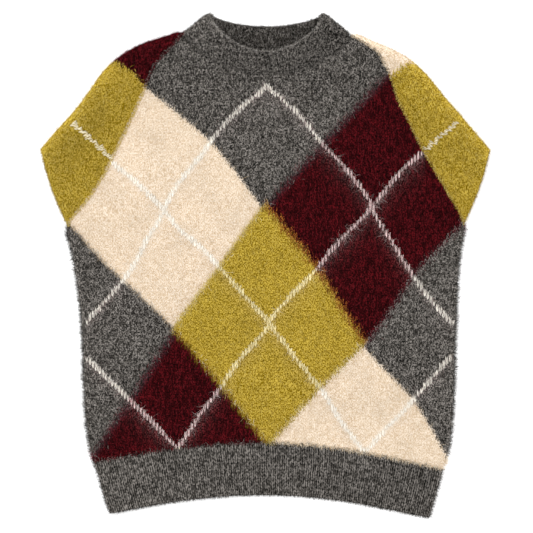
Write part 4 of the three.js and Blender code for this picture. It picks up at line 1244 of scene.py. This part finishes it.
edge_z = lambda g, n: np.where(g.random(n) < 0.4, g.uniform(0.6, 2.6, n), g.uniform(3.4, 6.0, n))
sides = rows_at(BODY, np.linspace(0, UNDERARM, 300))
halo("fuzz_front", sides[:, 2:4], body_tone_at, 2500, (3, 9), 41, edge_z, (0.32, 0.62))
halo("fuzz_front", sides[:, 0:2][::-1], body_tone_at, 2500, (3, 9), 42, edge_z, (0.32, 0.62))
hem = np.stack(bowed(np.repeat(RIB[3:4], 300, 0), u, RIB[3, 4], HEM_ROUND), 1)
halo("fuzz_rib", hem, grey_only, 2700, (2, 5.5), 43, edge_z)
rr = rows_at(RIB, np.linspace(3, 0, 80))
halo("fuzz_rib", rr[:, 2:4], grey_only, 460, (2.5, 7), 44, edge_z)
halo("fuzz_rib", rr[:, 0:2][::-1], grey_only, 460, (2.5, 7), 45, edge_z)
for name, side, grid in (("fuzz_sleeve_right", -1, grid_right), ("fuzz_sleeve_left", 1, grid_left)):
    def tone_at(x, y, side=side):
        tone = sleeve_tones(x, y, side)
        share = np.random.default_rng(6).random(len(x))
        # painted highlight: most mustard hairs standing out of the shoulder fold take the paler honey or straw tones
        tone[(tone == "mustard") & (share < 0.7)] = "honey"
        tone[(tone == "honey") & (share < 0.2)] = "straw"
        return tone
    cols = grid.shape[1]
    shoulder = grid[:, 68 if side > 0 else cols - 69, :2]
    cuff = grid[0, :69, :2] if side > 0 else grid[0, cols - 69:, :2]
    if side > 0:
        halo(name, cuff, lambda x, y, side=side: sleeve_tones(x, y, side), 700, (2, 5), 46, edge_z)
        halo(name, shoulder, tone_at, 1300, (2, 6.5), 47, lambda g, n: g.uniform(2.5, 6.8, n))
    else:
        halo(name, cuff, lambda x, y, side=side: sleeve_tones(x, y, side), 700, (2, 5), 48, edge_z)
        halo(name, shoulder[::-1], tone_at, 1300, (2, 6.5), 49, lambda g, n: g.uniform(2.5, 6.8, n))
top = COLLAR[-1]
for bow, z0, count in ((top[4], 9.6, 900), (top[5], 2.4, 800)):
    edge_line = np.stack(bowed(np.repeat(top[None], 200, 0), np.linspace(0.02, 0.98, 200), bow, NECK_ROUND), 1)[::-1]
    halo("fuzz_collar", edge_line, grey_only, count, (1.5, 4), 50 + count, lambda g, n, z0=z0: g.uniform(z0 - 1.2, z0 + 1.2, n))
# painted highlight: pale grey hairs laid along the neck band's top rim
g = np.random.default_rng(91)
rim = np.stack(bowed(np.repeat(top[None], 300, 0), np.linspace(0.03, 0.97, 300), top[4], NECK_ROUND), 1)
p, tan = along_line(rim, g.uniform(0, 1, 620))
angle = g.normal(0, 0.75, 620) + np.where(g.random(620) < 0.5, 0, np.pi)
left = np.stack([-tan[:, 1], tan[:, 0]], 1)
head = np.column_stack([tan * np.cos(angle)[:, None] + left * np.sin(angle)[:, None], np.zeros(620)])
grow("fuzz_collar", np.full(620, "pale", object), np.column_stack([p + left * g.normal(-0.4, 1.0, (620, 1)), g.uniform(9.9, 11.0, 620)]),
     np.repeat(np.array([[0, 0, 1.0]]), 620, 0), head, g.uniform(2, 4.5, 620), g.uniform(0.1, 0.7, 620), g.uniform(0.25, 0.45, 620), 92)
for pair in ((2, 3), (0, 1)):
    line = rows_at(COLLAR, np.linspace(0, 4, 60))[:, pair]
    line = line if pair[0] == 2 else line[::-1]
    halo("fuzz_collar", line, grey_only, 300, (2, 5), 60 + pair[0], lambda g, n: g.uniform(1.5, 7.5, n))

for x, y, seed in ((top[0] + 2.5, top[1] - 3.5, 93), (top[2] - 2.5, top[3] - 3.5, 94)):
    g = np.random.default_rng(seed)
    angle = g.uniform(0, 2 * np.pi, 170)
    out = np.column_stack([np.cos(angle), np.sin(angle), np.zeros(170)])
    roots = np.array([[x, y, 0]]) + out * g.uniform(0.5, 3.0, (170, 1)) + np.column_stack([np.zeros((170, 2)), g.uniform(2.5, 8.5, 170)])
    grow("fuzz_collar", np.where(g.random(170) < 0.35, "pale", "dim").astype(object), roots, np.repeat(np.array([[0, 0, 1.0]]), 170, 0), out,
         g.uniform(1.6, 3.8, 170), g.uniform(-0.4, 0.8, 170), g.uniform(0.26, 0.48, 170), seed)
# painted shadow: a row of very dark hairs along the crease where the neck band meets the right shoulder
skin = np.array([v.co for v in collar.data.vertices]) / MM
g = np.random.default_rng(95)
p, tan = along_line(np.array([(84.0, 317.0), (92.5, 312.5), (103.5, 309.8), (113.5, 308.2)]), g.uniform(0, 1, 130))
p = p + g.normal(0, 0.8, p.shape)
deep = np.column_stack([p, np.array([skin[np.hypot(skin[:, 0] - a, skin[:, 1] - b) < 5, 2].max(initial=6.0) for a, b in p]) + 0.1])
angle = g.normal(0, 0.5, 130)
head = np.column_stack([tan[:, 0] * np.cos(angle) - tan[:, 1] * np.sin(angle), tan[:, 1] * np.cos(angle) + tan[:, 0] * np.sin(angle), np.zeros(130)])
grow("fuzz_collar", np.full(130, "deep", object), deep, np.repeat(np.array([[0, 0, 1.0]]), 130, 0), head, g.uniform(2, 4.5, 130), g.uniform(0.2, 0.7, 130), g.uniform(0.35, 0.6, 130), 96)

# the overlay yarn's own hairs: short ones all about the line, and long curly ones that hang under it
g = np.random.default_rng(77)
q = np.concatenate([densify(run, 0.42) for run in OVERLAY])
q = q[g.random(len(q)) < 0.8]
q = q + g.normal(0, 1.0, q.shape)
q = q[inside(q[:, 0], q[:, 1], front_loop) & (far_from(q[:, 0], q[:, 1], front_loop) > 2)]
count = len(q)
long_ = g.random(count) < 0.45
angle = np.where(long_, np.pi, g.choice([0, np.pi], count)) + g.normal(0, 0.85, count)
on = body_tones(q)[0]
tone = np.where((on == "cream") | ((g.random(count) < 0.5) & ~long_), "ivory", "haze").astype(object)
tone[on == "mustard"] = "straw"
normals = np.repeat(np.array([[0, 0, 1.0]]), count, 0)
head = np.stack([np.sin(angle), np.cos(angle), np.zeros(count)], 1)
grow("fuzz_overlay", tone, np.column_stack([q, top_of(q[:, 0], q[:, 1]) + WALL / 2]), normals, head,
     np.where(long_, g.uniform(5, 17, count), g.uniform(2.5, 5.5, count)), g.uniform(0.9, 2.2, count), g.uniform(0.16, 0.30, count), 78, 4)

SLOTS = {"fuzz_rib": "rib_knit", "fuzz_collar": "rib_knit", "fuzz_sleeve_right": "sleeve_knit", "fuzz_sleeve_left": "sleeve_knit"}
fuzz = {name: fuzz_piece(name, SLOTS.get(name, "argyle_knit")) for name in FUZZ}


# ---------------------------------------------------------------- floor, light, camera
floor = make("Floor", np.array([(-4000, -4000, 0), (4000, -4000, 0), (4000, 4000, 0), (-4000, 4000, 0)]) - np.array([0, 0, 0.05]), [np.array([[0, 1, 2, 3]])], smooth_=False)
fm = bpy.data.materials.new("floor_white")
t = Tree(fm)
p = t.new("ShaderNodeBsdfPrincipled")
p.inputs["Base Color"].default_value = (0.93, 0.93, 0.93, 1)
p.inputs["Emission Color"].default_value = (1, 1, 1, 1)
p.inputs["Emission Strength"].default_value = 0.22
p.inputs["Roughness"].default_value = 0.9
p.inputs["Specular IOR Level"].default_value = 0.1
t.link(p.outputs[0], t.out.inputs["Surface"])
floor.data.materials.append(fm)

world = bpy.data.worlds.new("soft_studio")
bpy.context.scene.world = world
world.use_nodes = True
world.node_tree.nodes["Background"].inputs["Color"].default_value = (1, 1, 1, 1)
world.node_tree.nodes["Background"].inputs["Strength"].default_value = 0.95


def area_light(name, at, size, power, aim=(0, 0, 0)):
    data = bpy.data.lights.new(name, "AREA")
    data.shape, data.size, data.energy = "DISK", size, power
    ob = bpy.data.objects.new(name, data)
    bpy.context.scene.collection.objects.link(ob)
    ob.location = at
    ob.rotation_euler = (Vector(aim) - Vector(at)).to_track_quat("-Z", "Y").to_euler()
    return ob


area_light("key_soft", (-1.5, 1.4, 2.4), 1.0, 42)
area_light("fill_soft", (1.8, -0.6, 2.2), 1.4, 16)

cam_data = bpy.data.cameras.new("Camera")
cam_data.sensor_width, cam_data.sensor_height, cam_data.sensor_fit = 36, 36, "AUTO"
distance, view_mm = 3.0, 533 * 1.35
cam_data.lens = 36 * (distance * 1000 - 6) / view_mm
cam_data.clip_end = 50
camera = bpy.data.objects.new("Camera", cam_data)
bpy.context.scene.collection.objects.link(camera)
camera.location = (1.69 * MM, -1.69 * MM, distance)
camera.rotation_euler = (0, 0, 0)
bpy.context.scene.camera = camera
bpy.context.scene.view_settings.view_transform = "Standard"
bpy.context.scene.view_settings.look = "None"
bpy.context.scene.view_settings.exposure = 0
bpy.context.scene.view_settings.gamma = 1
